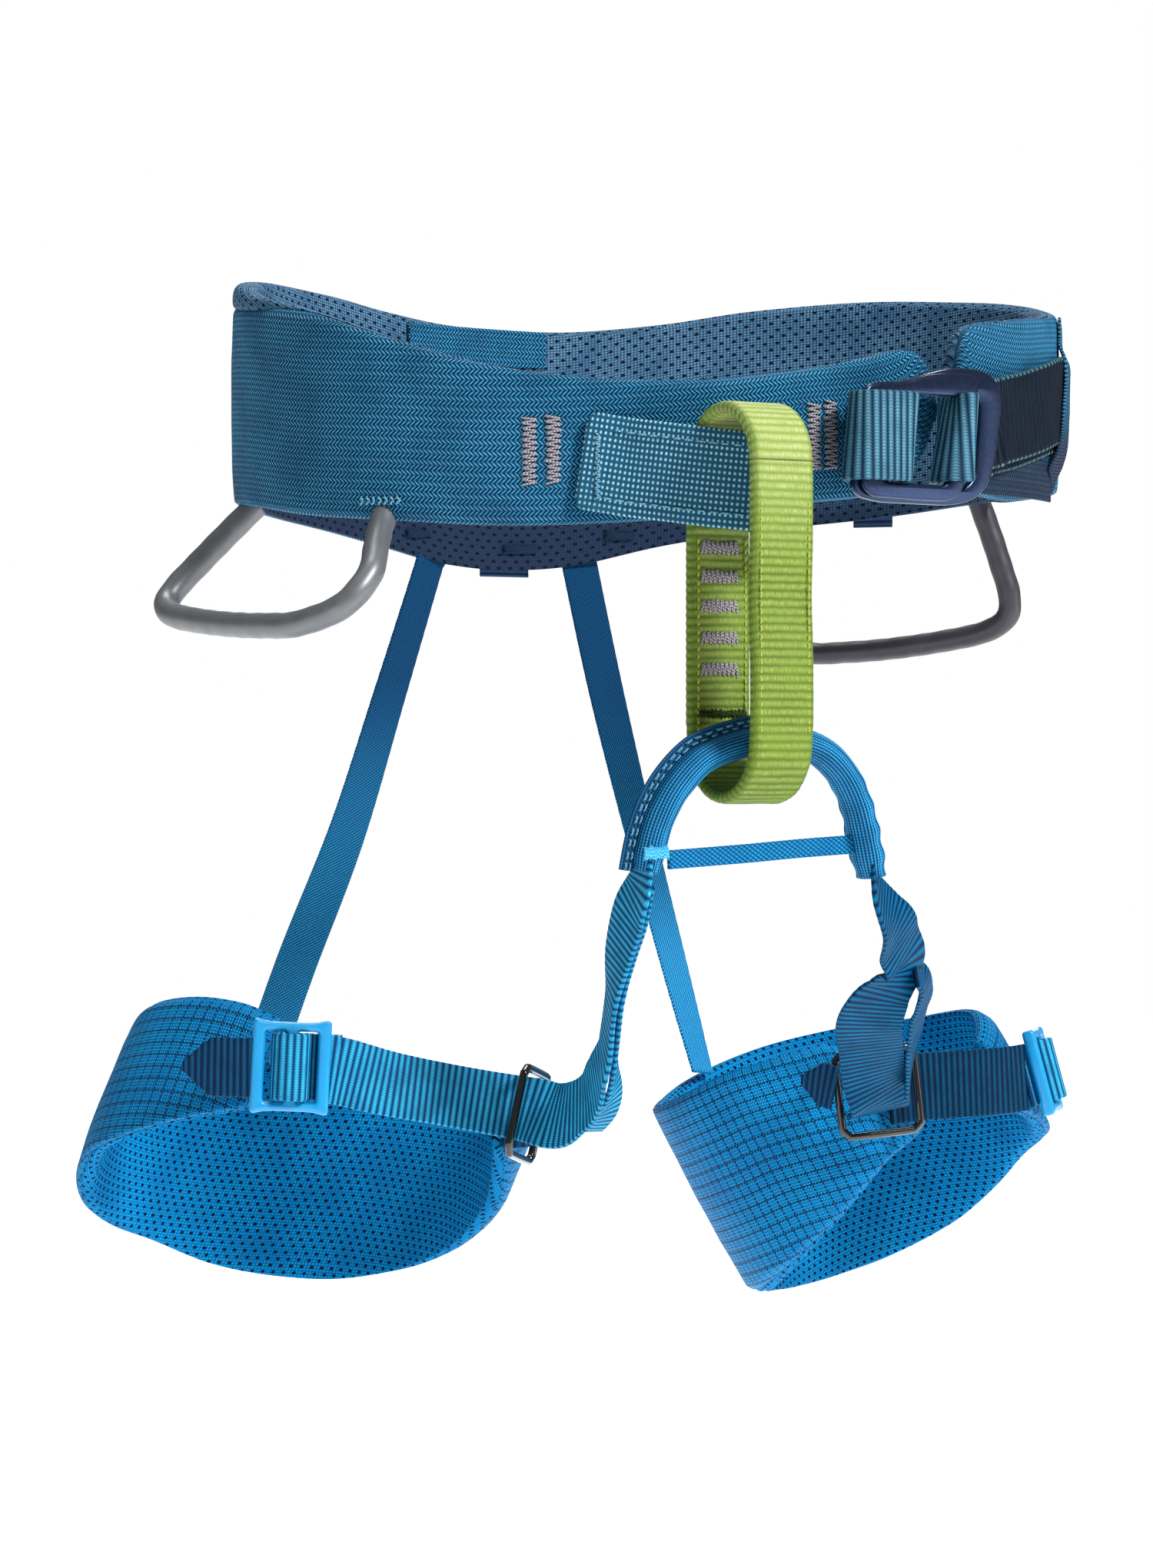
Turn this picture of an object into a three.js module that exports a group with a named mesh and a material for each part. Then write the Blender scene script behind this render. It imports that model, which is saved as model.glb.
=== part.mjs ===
// Climbing harness: a padded waist belt with its double-frame buckle, a tie-in sheath, a belay loop,
// a leg arch, two adjustable leg loops, two elastic risers and two moulded gear loops.
//
// Millimetres, +Z up. The origin is the middle of the waist opening. The front faces -Y and +X is the
// wearer's left. Straps are swept from hand-placed stations [x, y, z, sideX, sideY, sideZ], where side is
// the direction across the strap. Padded walls are lofted from stations in plan with a top and a bottom.
import * as THREE from 'three';

// ---------------------------------------------------------------- driving dimensions

const GAP = 0.6; // clearance between pieces that touch on the real harness

// The belt's middle surface stands on an ellipse with half axes a and b.
const BELT = {
  centreX: 13.5, a: 124.5, b: 91, shell: 1.4, foam: 4.4, step: 2,
  foamInset: 0.5, foamRounding: 1.2, clothRounding: 0.4,
};
// The pads lean with height by leanX and leanY per millimetre, about levelZ.
const PAD = {
  shell: 1.2, foam: 4, step: 2, leanX: -0.5, leanY: 0.2, levelZ: -200,
  foamInset: 0.5, foamRounding: 1, clothRounding: 0.35,
};

const WAIST_WEBBING = { width: 25, thick: 1.8 };
const LEG_WEBBING = { width: 20, thick: 1.6 };
const RISER = { width: 12.5, thick: 1.2 };
const SHEATH = { width: 25.5, thick: 2.6 };
const LOOP = { width: 18.5, thick: 3.4 };
const LOOP_PLY = { width: 17.5, thick: 1 }; // the overlap sewn on the belay loop's back strand
const ARCH = { depth: 14, thick: 8.5, wall: 1.1, sides: 12 };
const ARCH_CORE = { width: 9, thick: 3.2, bevel: 0.8 };
const CROSS_STRAP = { width: 5.2, thick: 1.2 };
const BACK_PLY = { width: 11, thick: 1.6 };
const FRONT_PLY = { width: 19, thick: 1.6 };
const BUCKLE_ANCHOR = { width: 17, thick: 1.6 };
const RING_ANCHOR = { width: 14, thick: 1.6 };
const WRAP = { width: 19, thick: 1.6 }; // clears the rails of the leg buckle
const KEEPER = { width: 18, thick: 1.2, angle: -27 };
const TAB_THICK = 1.6;
const GEAR = { radius: 3.7, sides: 10 };
const BUCKLE_CENTRE = [51, -101, 0];
const LADDER = { length: 22, height: 27, bar: 3.6, thick: 4, corner: 3, windowCorner: 0.8 };
const RING = { length: 26.5, height: 27, wire: 2.4, corner: 4, windowCorner: 2.5 };

// The waist buckle's frames, seen from the front: left and right ends, [low, high] at each end, the
// widths of the left and right bars, and how far the frame stands out.
const OUTER_FRAME = {
  left: -24.5, right: 25.5, edges: [[-19.6, 12.4], [-20.6, 19.4]], bars: [6, 6.8], rail: 2.6, thick: 3,
  corner: 5, out: 0,
};
const INNER_FRAME = {
  left: -23.4, right: 15, edges: [[-19, 12], [-20, 17.4]], bars: [5, 6.6], rail: 2.2, thick: 2.2,
  corner: 4, out: 3.2,
};

const COLOURS = {
  shell: 0x245f8c,
  mesh: 0x23456b,
  foam: 0x30343a,
  webbing: 0x3d7d96,
  darkWebbing: 0x2a4256,
  belayGreen: 0x9ab947,
  arch: 0x1d6ba8,
  bridge: 0x1f659c,
  padShell: 0x1683c8,
  padMesh: 0x1563b4,
  riser: 0x185495,
  gear: 0x8b9698,
  aluminium: 0x2b3863,
  plastic: 0x1b86cc,
  steel: 0x232325,
};

// Belt edge heights around the waist: [angle in degrees, top, bottom]. The angle starts at the front
// right end of the long side, runs back through the front, the wearer's right, the back, and the
// wearer's left, and stops at the short end beside the buckle.
const BELT_EDGE = [
  [-68.5, 12, 2],
  [-70.5, 21, -7],
  [-74, 23, -15],
  [-80, 20, -19.5],
  [-90, 15.5, -22.2],
  [-102, 12.2, -26],
  [-116, 12, -28.4],
  [-131, 15.5, -29],
  [-147, 24, -27.1],
  [-162, 32.5, -25],
  [-180, 39.5, -21],
  [-197, 46, -19],
  [-214, 49.6, -19.8],
  [-232, 49.4, -22.5],
  [-245, 46.5, -26.5],
  [-256, 44, -31],
  [-266, 43.4, -32.2],
  [-277, 43.8, -30.4],
  [-291, 47, -23.8],
  [-306, 51.6, -19],
  [-325, 53.6, -15.8],
  [-345, 51.5, -12.6],
  [-360, 48.6, -11.8],
  [-378, 43.5, -12.6],
  [-395, 38.8, -15],
  [-410, 35.2, -18],
  [-420, 32, -16.8],
  [-422.6, 27, -14],
  [-424, 16, -8],
];

// Leg pads, drawn as if on the wearer's left: [x, y, top, bottom] at levelZ, from the ring at the inner
// front, round the inside, the back and the outside, to the buckle.
const LEFT_PAD = [
  [84.5, -33.4, -196, -203],
  [77.5, -32.8, -184, -207],
  [70, -31.4, -178, -211],
  [59.4, -27.8, -180, -219],
  [48.8, -21.8, -183, -228],
  [38.8, -12.7, -187, -237],
  [31.2, -2, -192, -245],
  [28.2, 11, -196, -251],
  [29.6, 25, -198.5, -254.5],
  [37.6, 39, -198, -256],
  [53, 51, -194, -256.5],
  [72, 58, -189, -254.5],
  [92, 59.4, -184, -250.5],
  [111, 55.4, -180, -244],
  [126, 47.6, -177, -236.5],
  [137.5, 36, -175, -226.5],
  [143.8, 22.5, -172.5, -217],
  [145, 9, -171, -211.5],
  [142, -3, -171.5, -207.5],
  [135, -13.5, -175, -203],
  [126.5, -21, -179.5, -199.5],
];
const RIGHT_PAD = [
  [52, -37.5, -190.5, -203],
  [44, -28, -189.5, -212],
  [36.8, -16, -188.5, -222],
  [33.4, -1, -188, -231.5],
  [33.4, 15, -187, -238.5],
  [38, 31, -186.5, -243.5],
  [50, 46.5, -185.5, -246.5],
  [68, 56.5, -184.5, -245.5],
  [88, 60.4, -183, -241.5],
  [108, 59, -180.5, -234.5],
  [125, 53, -177.5, -229],
  [138, 44, -174, -222.5],
  [147.5, 32, -169.5, -213.5],
  [152.2, 18, -164.5, -205],
  [151.5, 5, -162, -200.5],
  [146.5, -7, -161.3, -196.3],
  [138, -17.5, -163, -193],
  [126.5, -26, -165, -192.5],
  [114.5, -31.5, -166.5, -192],
];

// ---------------------------------------------------------------- general helpers

const vec = (x, y, z) => new THREE.Vector3(x, y, z);
const radians = (degrees) => THREE.MathUtils.degToRad(degrees);

/** Catmull-Rom through rows of numbers, perSpan steps between two rows. */
function spline(rows, perSpan, closed = false) {
  const count = rows.length;
  const row = (i) => (closed ? rows[(i + count) % count] : rows[Math.min(Math.max(i, 0), count - 1)]);
  const spans = closed ? count : count - 1;
  const out = [];
  for (let i = 0; i < spans; i++) {
    const [a, b, c, d] = [row(i - 1), row(i), row(i + 1), row(i + 2)];
    for (let k = 0; k < perSpan; k++) {
      const t = k / perSpan;
      out.push(b.map((v, j) => {
        const square = 2 * a[j] - 5 * v + 4 * c[j] - d[j];
        const cube = 3 * v - a[j] - 3 * c[j] + d[j];
        return v + 0.5 * ((c[j] - a[j]) * t + square * t * t + cube * t * t * t);
      }));
    }
  }
  return closed ? out : [...out, [...rows[count - 1]]];
}

/** A closed body through rings of points, capped at both ends, or joined to itself. */
function loft(rings, closed = false) {
  const sides = rings[0].length;
  const faces = [];
  const last = closed ? rings.length : rings.length - 1;
  for (let i = 0; i < last; i++) {
    const here = i * sides;
    const next = ((i + 1) % rings.length) * sides;
    for (let j = 0; j < sides; j++) {
      const k = (j + 1) % sides;
      faces.push([here + j, here + k, next + k], [here + j, next + k, next + j]);
    }
  }
  if (!closed) {
    const end = (rings.length - 1) * sides;
    for (let j = 1; j < sides - 1; j++) {
      faces.push([0, j + 1, j], [end, end + j, end + j + 1]);
    }
  }
  return solid(rings.flat(), faces);
}

/** Geometry with its faces turned outward. */
function solid(points, faces) {
  const volume = faces.reduce((sum, [a, b, c]) => {
    return sum + points[a].dot(vec(0, 0, 0).crossVectors(points[b], points[c]));
  }, 0);
  const indices = faces.flatMap(([a, b, c]) => (volume > 0 ? [a, b, c] : [a, c, b]));
  const geometry = new THREE.BufferGeometry();
  geometry.setAttribute('position', new THREE.Float32BufferAttribute(points.flatMap((p) => p.toArray()), 3));
  geometry.setIndex(indices);
  geometry.computeVertexNormals();
  return geometry;
}

function tangents(points, closed) {
  const count = points.length;
  return points.map((_, i) => {
    const next = closed ? points[(i + 1) % count] : points[Math.min(i + 1, count - 1)];
    const previous = closed ? points[(i - 1 + count) % count] : points[Math.max(i - 1, 0)];
    return vec(0, 0, 0).subVectors(next, previous).normalize();
  });
}

/** Frames along stations [x, y, z, sideX, sideY, sideZ]: the point, across the strap, and its face. */
function frames(rows, closed) {
  const points = rows.map((row) => vec(row[0], row[1], row[2]));
  const along = tangents(points, closed);
  return points.map((point, i) => {
    const side = vec(rows[i][3], rows[i][4], rows[i][5]);
    side.addScaledVector(along[i], -side.dot(along[i])).normalize();
    return { point, side, face: vec(0, 0, 0).crossVectors(along[i], side) };
  });
}

function sweep(rows, section, closed = false) {
  const rings = frames(rows, closed).map(({ point, side, face }) => {
    return section.map(([u, v]) => point.clone().addScaledVector(side, u).addScaledVector(face, v));
  });
  return loft(rings, closed);
}

function bevelledRectangle(width, thick, bevel) {
  const u = width / 2;
  const v = thick / 2;
  return [
    [u - bevel, -v], [u, bevel - v], [u, v - bevel], [u - bevel, v],
    [bevel - u, v], [-u, v - bevel], [-u, bevel - v], [bevel - u, -v],
  ];
}

function ellipseSection(width, thick, sides) {
  return Array.from({ length: sides }, (_, i) => {
    const angle = (2 * Math.PI * i) / sides;
    return [(width / 2) * Math.cos(angle), (thick / 2) * Math.sin(angle)];
  });
}

function strap(path, { width, thick }, perSpan = 3, closed = false) {
  return sweep(spline(path, perSpan, closed), bevelledRectangle(width, thick, thick * 0.3), closed);
}

/** A round or flattened tube with a bore, open at both ends. */
function hollowSweep(rows, outer, inner) {
  const sides = outer.length;
  const stations = frames(rows, false);
  const ring = (section, { point, side, face }) => {
    return section.map(([u, v]) => point.clone().addScaledVector(side, u).addScaledVector(face, v));
  };
  const points = [...stations.flatMap((s) => ring(outer, s)), ...stations.flatMap((s) => ring(inner, s))];
  const bore = stations.length * sides;
  const end = (stations.length - 1) * sides;
  const faces = [];
  const quad = (a, b, c, d) => faces.push([a, b, c], [a, c, d]);
  for (let j = 0; j < sides; j++) {
    const k = (j + 1) % sides;
    for (let at = 0; at < end; at += sides) {
      quad(at + j, at + k, at + sides + k, at + sides + j);
      quad(bore + at + j, bore + at + sides + j, bore + at + sides + k, bore + at + k);
    }
    quad(j, bore + j, bore + k, k);
    quad(end + j, end + k, bore + end + k, bore + end + j);
  }
  return solid(points, faces);
}

const parts = new THREE.Group();

function add(name, geometry, colour, finish = {}) {
  const material = new THREE.MeshStandardMaterial({ color: colour, roughness: 0.85, ...finish });
  const mesh = new THREE.Mesh(geometry, material);
  mesh.name = name;
  parts.add(mesh);
  return mesh;
}

// ---------------------------------------------------------------- waist belt

/** A point on the belt at an angle, off its middle surface, with the outward direction. */
function beltPoint(degrees, offset) {
  const angle = radians(degrees);
  const outward = vec(BELT.b * Math.cos(angle), BELT.a * Math.sin(angle), 0).normalize();
  const point = vec(BELT.centreX + BELT.a * Math.cos(angle), BELT.b * Math.sin(angle), 0);
  return { point: point.addScaledVector(outward, offset), outward };
}

/** A layer's section between two offsets and two heights, with its corners cut by rounding. */
function layerRing(place, inside, outside, low, high, rounding) {
  return [
    place(inside, low + rounding), place(inside + rounding, low),
    place(outside - rounding, low), place(outside, low + rounding),
    place(outside, high - rounding), place(outside - rounding, high),
    place(inside + rounding, high), place(inside, high - rounding),
  ];
}

/** One layer of the belt between two offsets, its edges drawn in from the belt's by inset. */
function beltLayer(inside, outside, inset, rounding) {
  const rings = spline(BELT_EDGE, BELT.step).map(([degrees, top, bottom]) => {
    const place = (offset, z) => beltPoint(degrees, offset).point.setZ(z);
    return layerRing(place, inside, outside, bottom + inset, top - inset, rounding);
  });
  return loft(rings);
}

const BELT_SKIN = (BELT.foam + GAP) / 2; // where the belt's fabric starts, off its middle
const BELT_FACE = BELT_SKIN + BELT.shell; // the belt's outer surface, off its middle

function beltBody() {
  const half = BELT.foam / 2;
  const { foamInset, foamRounding, clothRounding } = BELT;
  add('belt_foam_core', beltLayer(-half, half, foamInset, foamRounding), COLOURS.foam);
  add('belt_outer_shell', beltLayer(BELT_SKIN, BELT_FACE, 0, clothRounding), COLOURS.shell);
  add('belt_inner_liner', beltLayer(-BELT_FACE, -BELT_SKIN, 0, clothRounding), COLOURS.mesh);
}

/** Strap stations that follow the belt: [angle, offset from the belt's face, z], width upright. */
function onBelt(stations) {
  return stations.map(([degrees, offset, z]) => {
    const { point } = beltPoint(degrees, BELT_FACE + offset);
    return [point.x, point.y, z, 0, 0, 1];
  });
}

/** Strap stations up the belt at an angle: [offset from the belt's face, z], width along the belt. */
function upTheBelt(degrees, stations) {
  return stations.map(([offset, z]) => {
    const { point, outward } = beltPoint(degrees, BELT_FACE + offset);
    return [point.x, point.y, z, -outward.y, outward.x, 0];
  });
}

// ---------------------------------------------------------------- tie-in sheath and belay loop

function tieInSheath() {
  const path = [
    [-49.5, -84.6, -9.4], [-43.5, -88, -10.5], [-38, -91.5, -11.6], [-31, -98, -12.8],
    [-22, -106.5, -14.5], [-12, -112, -15.8], [-3, -113.4, -16.2], [4, -110.6, -15.6],
    [8.5, -105.5, -14.6], [10.5, -99.5, -13.8],
  ].map(([x, y, z]) => [x, y, z, -0.05, 0, 1]);
  add('tie_in_sheath', strap(path, SHEATH), COLOURS.webbing);
}

const LOOP_SPACE = {
  middle: vec(-12.3, -113, 0), forward: vec(0.087, -0.996, 0), across: vec(0.996, 0.087, 0),
  halfGap: 16, top: 2.2, bottom: -103.6, bend: 15,
};

/** Stations of the belay loop: straight front and back strands joined by round bends. */
function belayLoopPath() {
  const { middle, forward, across, halfGap, top, bottom, bend } = LOOP_SPACE;
  const place = (reach, z) => {
    const p = middle.clone().addScaledVector(forward, reach);
    return [p.x, p.y, z, across.x, across.y, 0];
  };
  const arc = (centreZ, from) => [0, 30, 60, 90, 120, 150, 180].map((turn) => {
    const angle = radians(from + turn);
    return place(halfGap * Math.cos(angle), centreZ + bend * Math.sin(angle));
  });
  return [...arc(top - bend, 0), ...arc(bottom + bend, 180)];
}

function belayLoop() {
  add('belay_loop', strap(belayLoopPath(), LOOP, 1, true), COLOURS.belayGreen);
  const { middle, forward, across, halfGap } = LOOP_SPACE;
  const behind = halfGap + (LOOP.thick + GAP + LOOP_PLY.thick) / 2;
  const ply = [-34, -50, -66, -82].map((z) => {
    const p = middle.clone().addScaledVector(forward, -behind);
    return [p.x, p.y, z, across.x, across.y, 0];
  });
  add('belay_loop_overlap', strap(ply, LOOP_PLY, 1), COLOURS.belayGreen);
}

// ---------------------------------------------------------------- leg arch and bridge webbing

const ARCH_PATH = [
  [-42.5, -110, -123.5], [-40.5, -111.5, -112.5], [-35.5, -112.5, -102], [-27, -113, -93.5],
  [-16, -113, -89.4], [-4, -113, -87.8], [7.5, -113, -90], [15.5, -112.8, -96],
  [20.5, -112.6, -104.5], [23.5, -112.3, -114.5], [26, -112, -125.5],
].map(([x, y, z]) => [x, y, z, 0.05, 1, 0]);

function legArch() {
  const rows = spline(ARCH_PATH, 2);
  const { depth, thick, wall, sides } = ARCH;
  const outer = ellipseSection(depth, thick, sides);
  const bore = ellipseSection(depth - 2 * wall, thick - 2 * wall, sides);
  add('arch_sheath', hollowSweep(rows, outer, bore), COLOURS.arch);
  const core = bevelledRectangle(ARCH_CORE.width, ARCH_CORE.thick, ARCH_CORE.bevel);
  add('arch_core_webbing', sweep(rows, core), COLOURS.bridge);
}

function crossStrap() {
  const path = [
    [-34.6, -112, -120.4], [-14, -112.4, -119], [4, -112.6, -117.6], [18.2, -112.4, -116.8],
  ].map(([x, y, z]) => [x, y, z, -0.05, 0, 1]);
  add('cross_strap', strap(path, CROSS_STRAP), COLOURS.arch);
}

// The webbing from the arch to the leg ring runs in two plies that open out lower down. The front ply
// carries on through the ring as the leg strap, and the back ply is sewn round the ring.
const BRIDGES = {
  bridge_webbing_right: [
    [-44, -109.6, -127.5, 0.1, 0.99, 0], [-45, -105, -136, 0, 0.99, 0.05],
    [-45.8, -100, -147, 0.1, 0.98, 0.05], [-46, -96.4, -159, 0.3, 0.95, 0],
    [-45.6, -92, -172.4, 0.28, 0.96, 0], [-45.3, -88, -178.2, 0.24, 0.97, 0.1],
    [-44.8, -83, -183.2, 0.17, 0.96, 0.2], [-44.5, -76, -188.1, 0.18, 0.87, 0.46],
    [-45.9, -69, -191.7, 0.16, 0.58, 0.8], [-47.6, -62, -192.7, 0.19, 0.41, 0.89],
    [-50.6, -56.4, -191.7, 0.17, 0.36, 0.92],
  ],
  bridge_ply_right: [
    [-41, -107.6, -127.5, 0.1, 0.99, 0], [-42, -103, -136, 0, 0.99, 0.05],
    [-42.8, -98, -147, 0.1, 0.98, 0.05], [-42.8, -94, -159, 0.3, 0.95, 0],
    [-41, -88.6, -171, 0.4, 0.91, 0], [-39.4, -84, -178, 0.45, 0.89, 0],
    [-37.6, -77.6, -185.6, 0.5, 0.85, -0.15], [-37.2, -69.6, -192, 0.55, 0.78, -0.3],
    [-38.6, -61.4, -197, 0.5, 0.77, -0.4],
  ],
  bridge_webbing_left: [
    [27.4, -111.4, -132, 0.76, 0.64, 0], [32.2, -107.6, -138, 0.78, 0.6, 0],
    [37.8, -102, -144.4, 0.8, 0.55, -0.2], [42, -97, -150.2, 0.8, 0.5, -0.3],
    [41.8, -93, -156, 0.81, 0.29, -0.51], [41.2, -88, -162, 0.82, 0, -0.57],
    [42.8, -80, -169, 0.84, -0.07, -0.54], [48.6, -70, -176.4, 0.84, 0.05, -0.54],
    [55.4, -60, -185.3, 0.79, 0.29, -0.54], [60.4, -53, -193, 0.72, 0.57, -0.41],
  ],
  bridge_ply_left: [
    [55, -90.4, -154.6, 0.64, 0.77, 0], [57.8, -85, -160.4, 0.64, 0.77, 0],
    [60, -78.4, -166.4, 0.64, 0.77, 0], [63.4, -70, -174.5, 0.6, 0.8, 0],
    [67.4, -62.4, -181.4, 0.5, 0.86, 0], [72.4, -57, -186.4, 0.45, 0.9, 0],
  ],
};

function bridges() {
  for (const [name, path] of Object.entries(BRIDGES)) {
    add(name, strap(path, name.includes('ply') ? BACK_PLY : FRONT_PLY, 2), COLOURS.bridge);
  }
}

function risers() {
  const right = [
    [-23.5, 84.5, -33.4, 0.9, 0.43, 0], [-38, 80, -72, 0.93, 0.3, 0],
    [-55, 73.5, -115, 0.95, 0.1, 0], [-75, 64.5, -154, 0.93, -0.2, 0], [-89, 57, -183, 0.91, -0.3, 0],
  ];
  add('riser_right', strap(right, RISER), COLOURS.riser);
  const left = [
    [31.5, 88.5, -33.2, 1, 0, 0], [37, 81, -72, 1, 0.05, 0], [44, 70, -118, 0.97, 0.25, 0],
    [50, 57.5, -160, 0.9, 0.42, 0], [54, 47.4, -190, 0.81, 0.59, 0],
  ];
  add('riser_left', strap(left, RISER), COLOURS.riser);
}

// ---------------------------------------------------------------- leg loops

/** A pad's layer between two offsets, outward positive. mirror is -1 on the wearer's right. */
function padLayer(stations, mirror, inside, outside, inset, rounding) {
  const rows = spline(stations, PAD.step);
  const plan = rows.map(([x, y]) => vec(x, y, 0));
  const along = tangents(plan, false);
  const rings = rows.map(([x, y, top, bottom], i) => {
    const outward = vec(-along[i].y, along[i].x, 0);
    const place = (offset, z) => vec(
      mirror * (x + outward.x * offset + PAD.leanX * (z - PAD.levelZ)),
      y + outward.y * offset + PAD.leanY * (z - PAD.levelZ),
      z,
    );
    return layerRing(place, inside, outside, bottom + inset, top - inset, rounding);
  });
  return loft(rings);
}

function legPad(leg, stations, mirror) {
  const half = PAD.foam / 2;
  const skin = half + GAP / 2;
  const face = skin + PAD.shell;
  const { foamInset, foamRounding, clothRounding } = PAD;
  const layer = (part, inside, outside, inset, rounding, colour) => {
    add(`leg_pad_${part}_${leg}`, padLayer(stations, mirror, inside, outside, inset, rounding), colour);
  };
  layer('foam', -half, half, foamInset, foamRounding, COLOURS.foam);
  layer('shell', skin, face, 0, clothRounding, COLOURS.padShell);
  layer('liner', -face, -skin, 0, clothRounding, COLOURS.padMesh);
}

/** A flat plate with the outline's windows, bevelled, centred on its own middle plane. */
function plate(outline, thick) {
  const bevel = thick * 0.2;
  const geometry = new THREE.ExtrudeGeometry(outline, {
    depth: thick - 2 * bevel, bevelEnabled: true, bevelThickness: bevel, bevelSize: bevel,
    bevelOffset: -bevel, bevelSegments: 1, curveSegments: 3,
  });
  geometry.translate(0, 0, bevel - thick / 2);
  return geometry;
}

/** A rectangular frame with windows of one size: their centres are given along its length. */
function windowedFrame({ length, height, corner, windowCorner }, rail, thick, middles, span) {
  const outline = roundedRectangle(new THREE.Shape(), 0, length, height, corner);
  for (const x of middles) {
    outline.holes.push(roundedRectangle(new THREE.Path(), x, span, height - 2 * rail, windowCorner));
  }
  return plate(outline, thick);
}

/** A rectangle about (x, 0) with corners of radius r. */
function roundedRectangle(path, x, length, height, r) {
  const u = length / 2 - r;
  const v = height / 2 - r;
  path.moveTo(x - u, -v - r);
  path.lineTo(x + u, -v - r);
  path.absarc(x + u, -v, r, -Math.PI / 2, 0);
  path.lineTo(x + u + r, v);
  path.absarc(x + u, v, r, 0, Math.PI / 2);
  path.lineTo(x - u, v + r);
  path.absarc(x - u, v, r, Math.PI / 2, Math.PI);
  path.lineTo(x - u - r, -v);
  path.absarc(x - u, -v, r, Math.PI, 1.5 * Math.PI);
  return path;
}

/** Places a frame at a centre: along is its length direction, up its height direction. */
function pose(mesh, centre, along, up) {
  const x = vec(...along).normalize();
  const z = vec(0, 0, 0).crossVectors(x, vec(...up)).normalize();
  const y = vec(0, 0, 0).crossVectors(z, x);
  mesh.quaternion.setFromRotationMatrix(new THREE.Matrix4().makeBasis(x, y, z));
  mesh.position.set(...centre);
}

/** The ladder buckle: two windows with a bar between them. */
function legBuckle(leg, { centre, along, up }) {
  const { length, bar, thick } = LADDER;
  const span = (length - 3 * bar) / 2;
  const reach = (span + bar) / 2;
  const geometry = windowedFrame(LADDER, bar, thick, [-reach, reach], span);
  pose(add(`leg_buckle_${leg}`, geometry, COLOURS.plastic, { roughness: 0.4 }), centre, along, up);
}

function legRing(leg, { centre, along, up }) {
  const { length, wire } = RING;
  const geometry = windowedFrame(RING, wire, wire, [0], length - 2 * wire);
  const mesh = add(`leg_ring_${leg}`, geometry, COLOURS.steel, { roughness: 0.3, metalness: 0.6 });
  pose(mesh, centre, along, up);
}

/** Leg hardware stations: where the buckle and ring sit, and how they are turned. */
const HARDWARE = {
  right: {
    buckle: { centre: [-116.6, -37.2, -178.6], along: [0.96, -0.28, -0.05], up: [0.05, 0, 1] },
    ring: { centre: [-50, -50.2, -193.2], along: [0.64, 0.75, -0.2], up: [0.3, 0.1, 0.95] },
    strap: [
      [-101.4, -38.4, -180.4, 0.12, 0.1, 0.98], [-89, -41.8, -183.8, 0.17, 0.3, 0.93],
      [-74, -45.4, -187, 0.15, 0.4, 0.9], [-62, -49.6, -189.4, 0.15, 0.4, 0.9],
      [-54, -53.4, -190.9, 0.15, 0.38, 0.91],
    ],
    anchor: [
      [-142.5, -23.5, -178.5, 0, 0, 1], [-136, -28.6, -178.6, 0, 0, 1], [-129.6, -33, -178.7, 0, 0, 1],
    ],
    ringTab: [
      [-51.8, -39.2, -196.6, 0.1, 0.1, 1], [-51.6, -41.6, -196.4, 0.1, 0.1, 1],
      [-49.4, -43.4, -196.2, 0.2, 0.1, 1], [-46.4, -43, -196, 0.28, 0.1, 1],
    ],
  },
  left: {
    buckle: { centre: [130, -31, -187], along: [0.62, 0.78, 0], up: [-0.25, 0.1, 0.96] },
    ring: { centre: [68, -43.6, -190.6], along: [0.97, 0.16, 0.1], up: [-0.26, 0.12, 0.96] },
    strap: [
      [86, -41, -189.6, 0, 0, 1], [100, -42.6, -189, 0, 0, 1], [110, -42.2, -188.6, 0, 0, 1],
      [117.8, -40.8, -188, -0.1, 0, 1],
    ],
    anchor: [
      [140.8, -12.5, -187, -0.2, 0, 1], [140, -18, -187, -0.2, 0, 1], [138.4, -21, -187, -0.2, 0, 1],
    ],
    ringTab: [
      [46, -33.8, -187, -0.2, 0, 1], [50, -38.6, -188.2, -0.22, 0, 1],
      [52.6, -41.8, -189.4, -0.24, 0, 1],
    ],
  },
};

// Webbing round a leg buckle's middle bar, beside the buckle: [towards the strap, out from the leg].
const WRAP_SHAPE = [
  [12.6, -3.3], [8, -3.3], [5.2, -1.8], [4.5, 1.2], [3, 3.7], [0, 4.4], [-3, 3.7], [-4.5, 1.2],
  [-4.7, -1.6], [-3.4, -4.2], [0, -5.2], [6.6, -5.5],
];

function strapWrap({ centre, along, up }, towardStrap) {
  const x = vec(...along).normalize();
  const out = vec(0, 0, 0).crossVectors(x, vec(...up)).normalize();
  const across = vec(0, 0, 0).crossVectors(out, x);
  const path = WRAP_SHAPE.map(([s, n]) => {
    const p = vec(...centre).addScaledVector(x, s * towardStrap).addScaledVector(out, n);
    return [...p.toArray(), ...across.toArray()];
  });
  return strap(path, WRAP, 2);
}

function legHardware(leg) {
  const { buckle, ring, strap: path, anchor, ringTab } = HARDWARE[leg];
  legBuckle(leg, buckle);
  legRing(leg, ring);
  add(`leg_strap_wrap_${leg}`, strapWrap(buckle, leg === 'right' ? 1 : -1), COLOURS.bridge);
  add(`leg_strap_${leg}`, strap(path, LEG_WEBBING), COLOURS.bridge);
  add(`buckle_anchor_${leg}`, strap(anchor, BUCKLE_ANCHOR), COLOURS.bridge);
  add(`ring_anchor_${leg}`, strap(ringTab, RING_ANCHOR), COLOURS.bridge);
}

// ---------------------------------------------------------------- waist buckle and its webbing

const BUCKLE_ALONG = vec(0.98, 0.2, 0).normalize();
const BUCKLE_OUT = vec(BUCKLE_ALONG.y, -BUCKLE_ALONG.x, 0);

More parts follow.
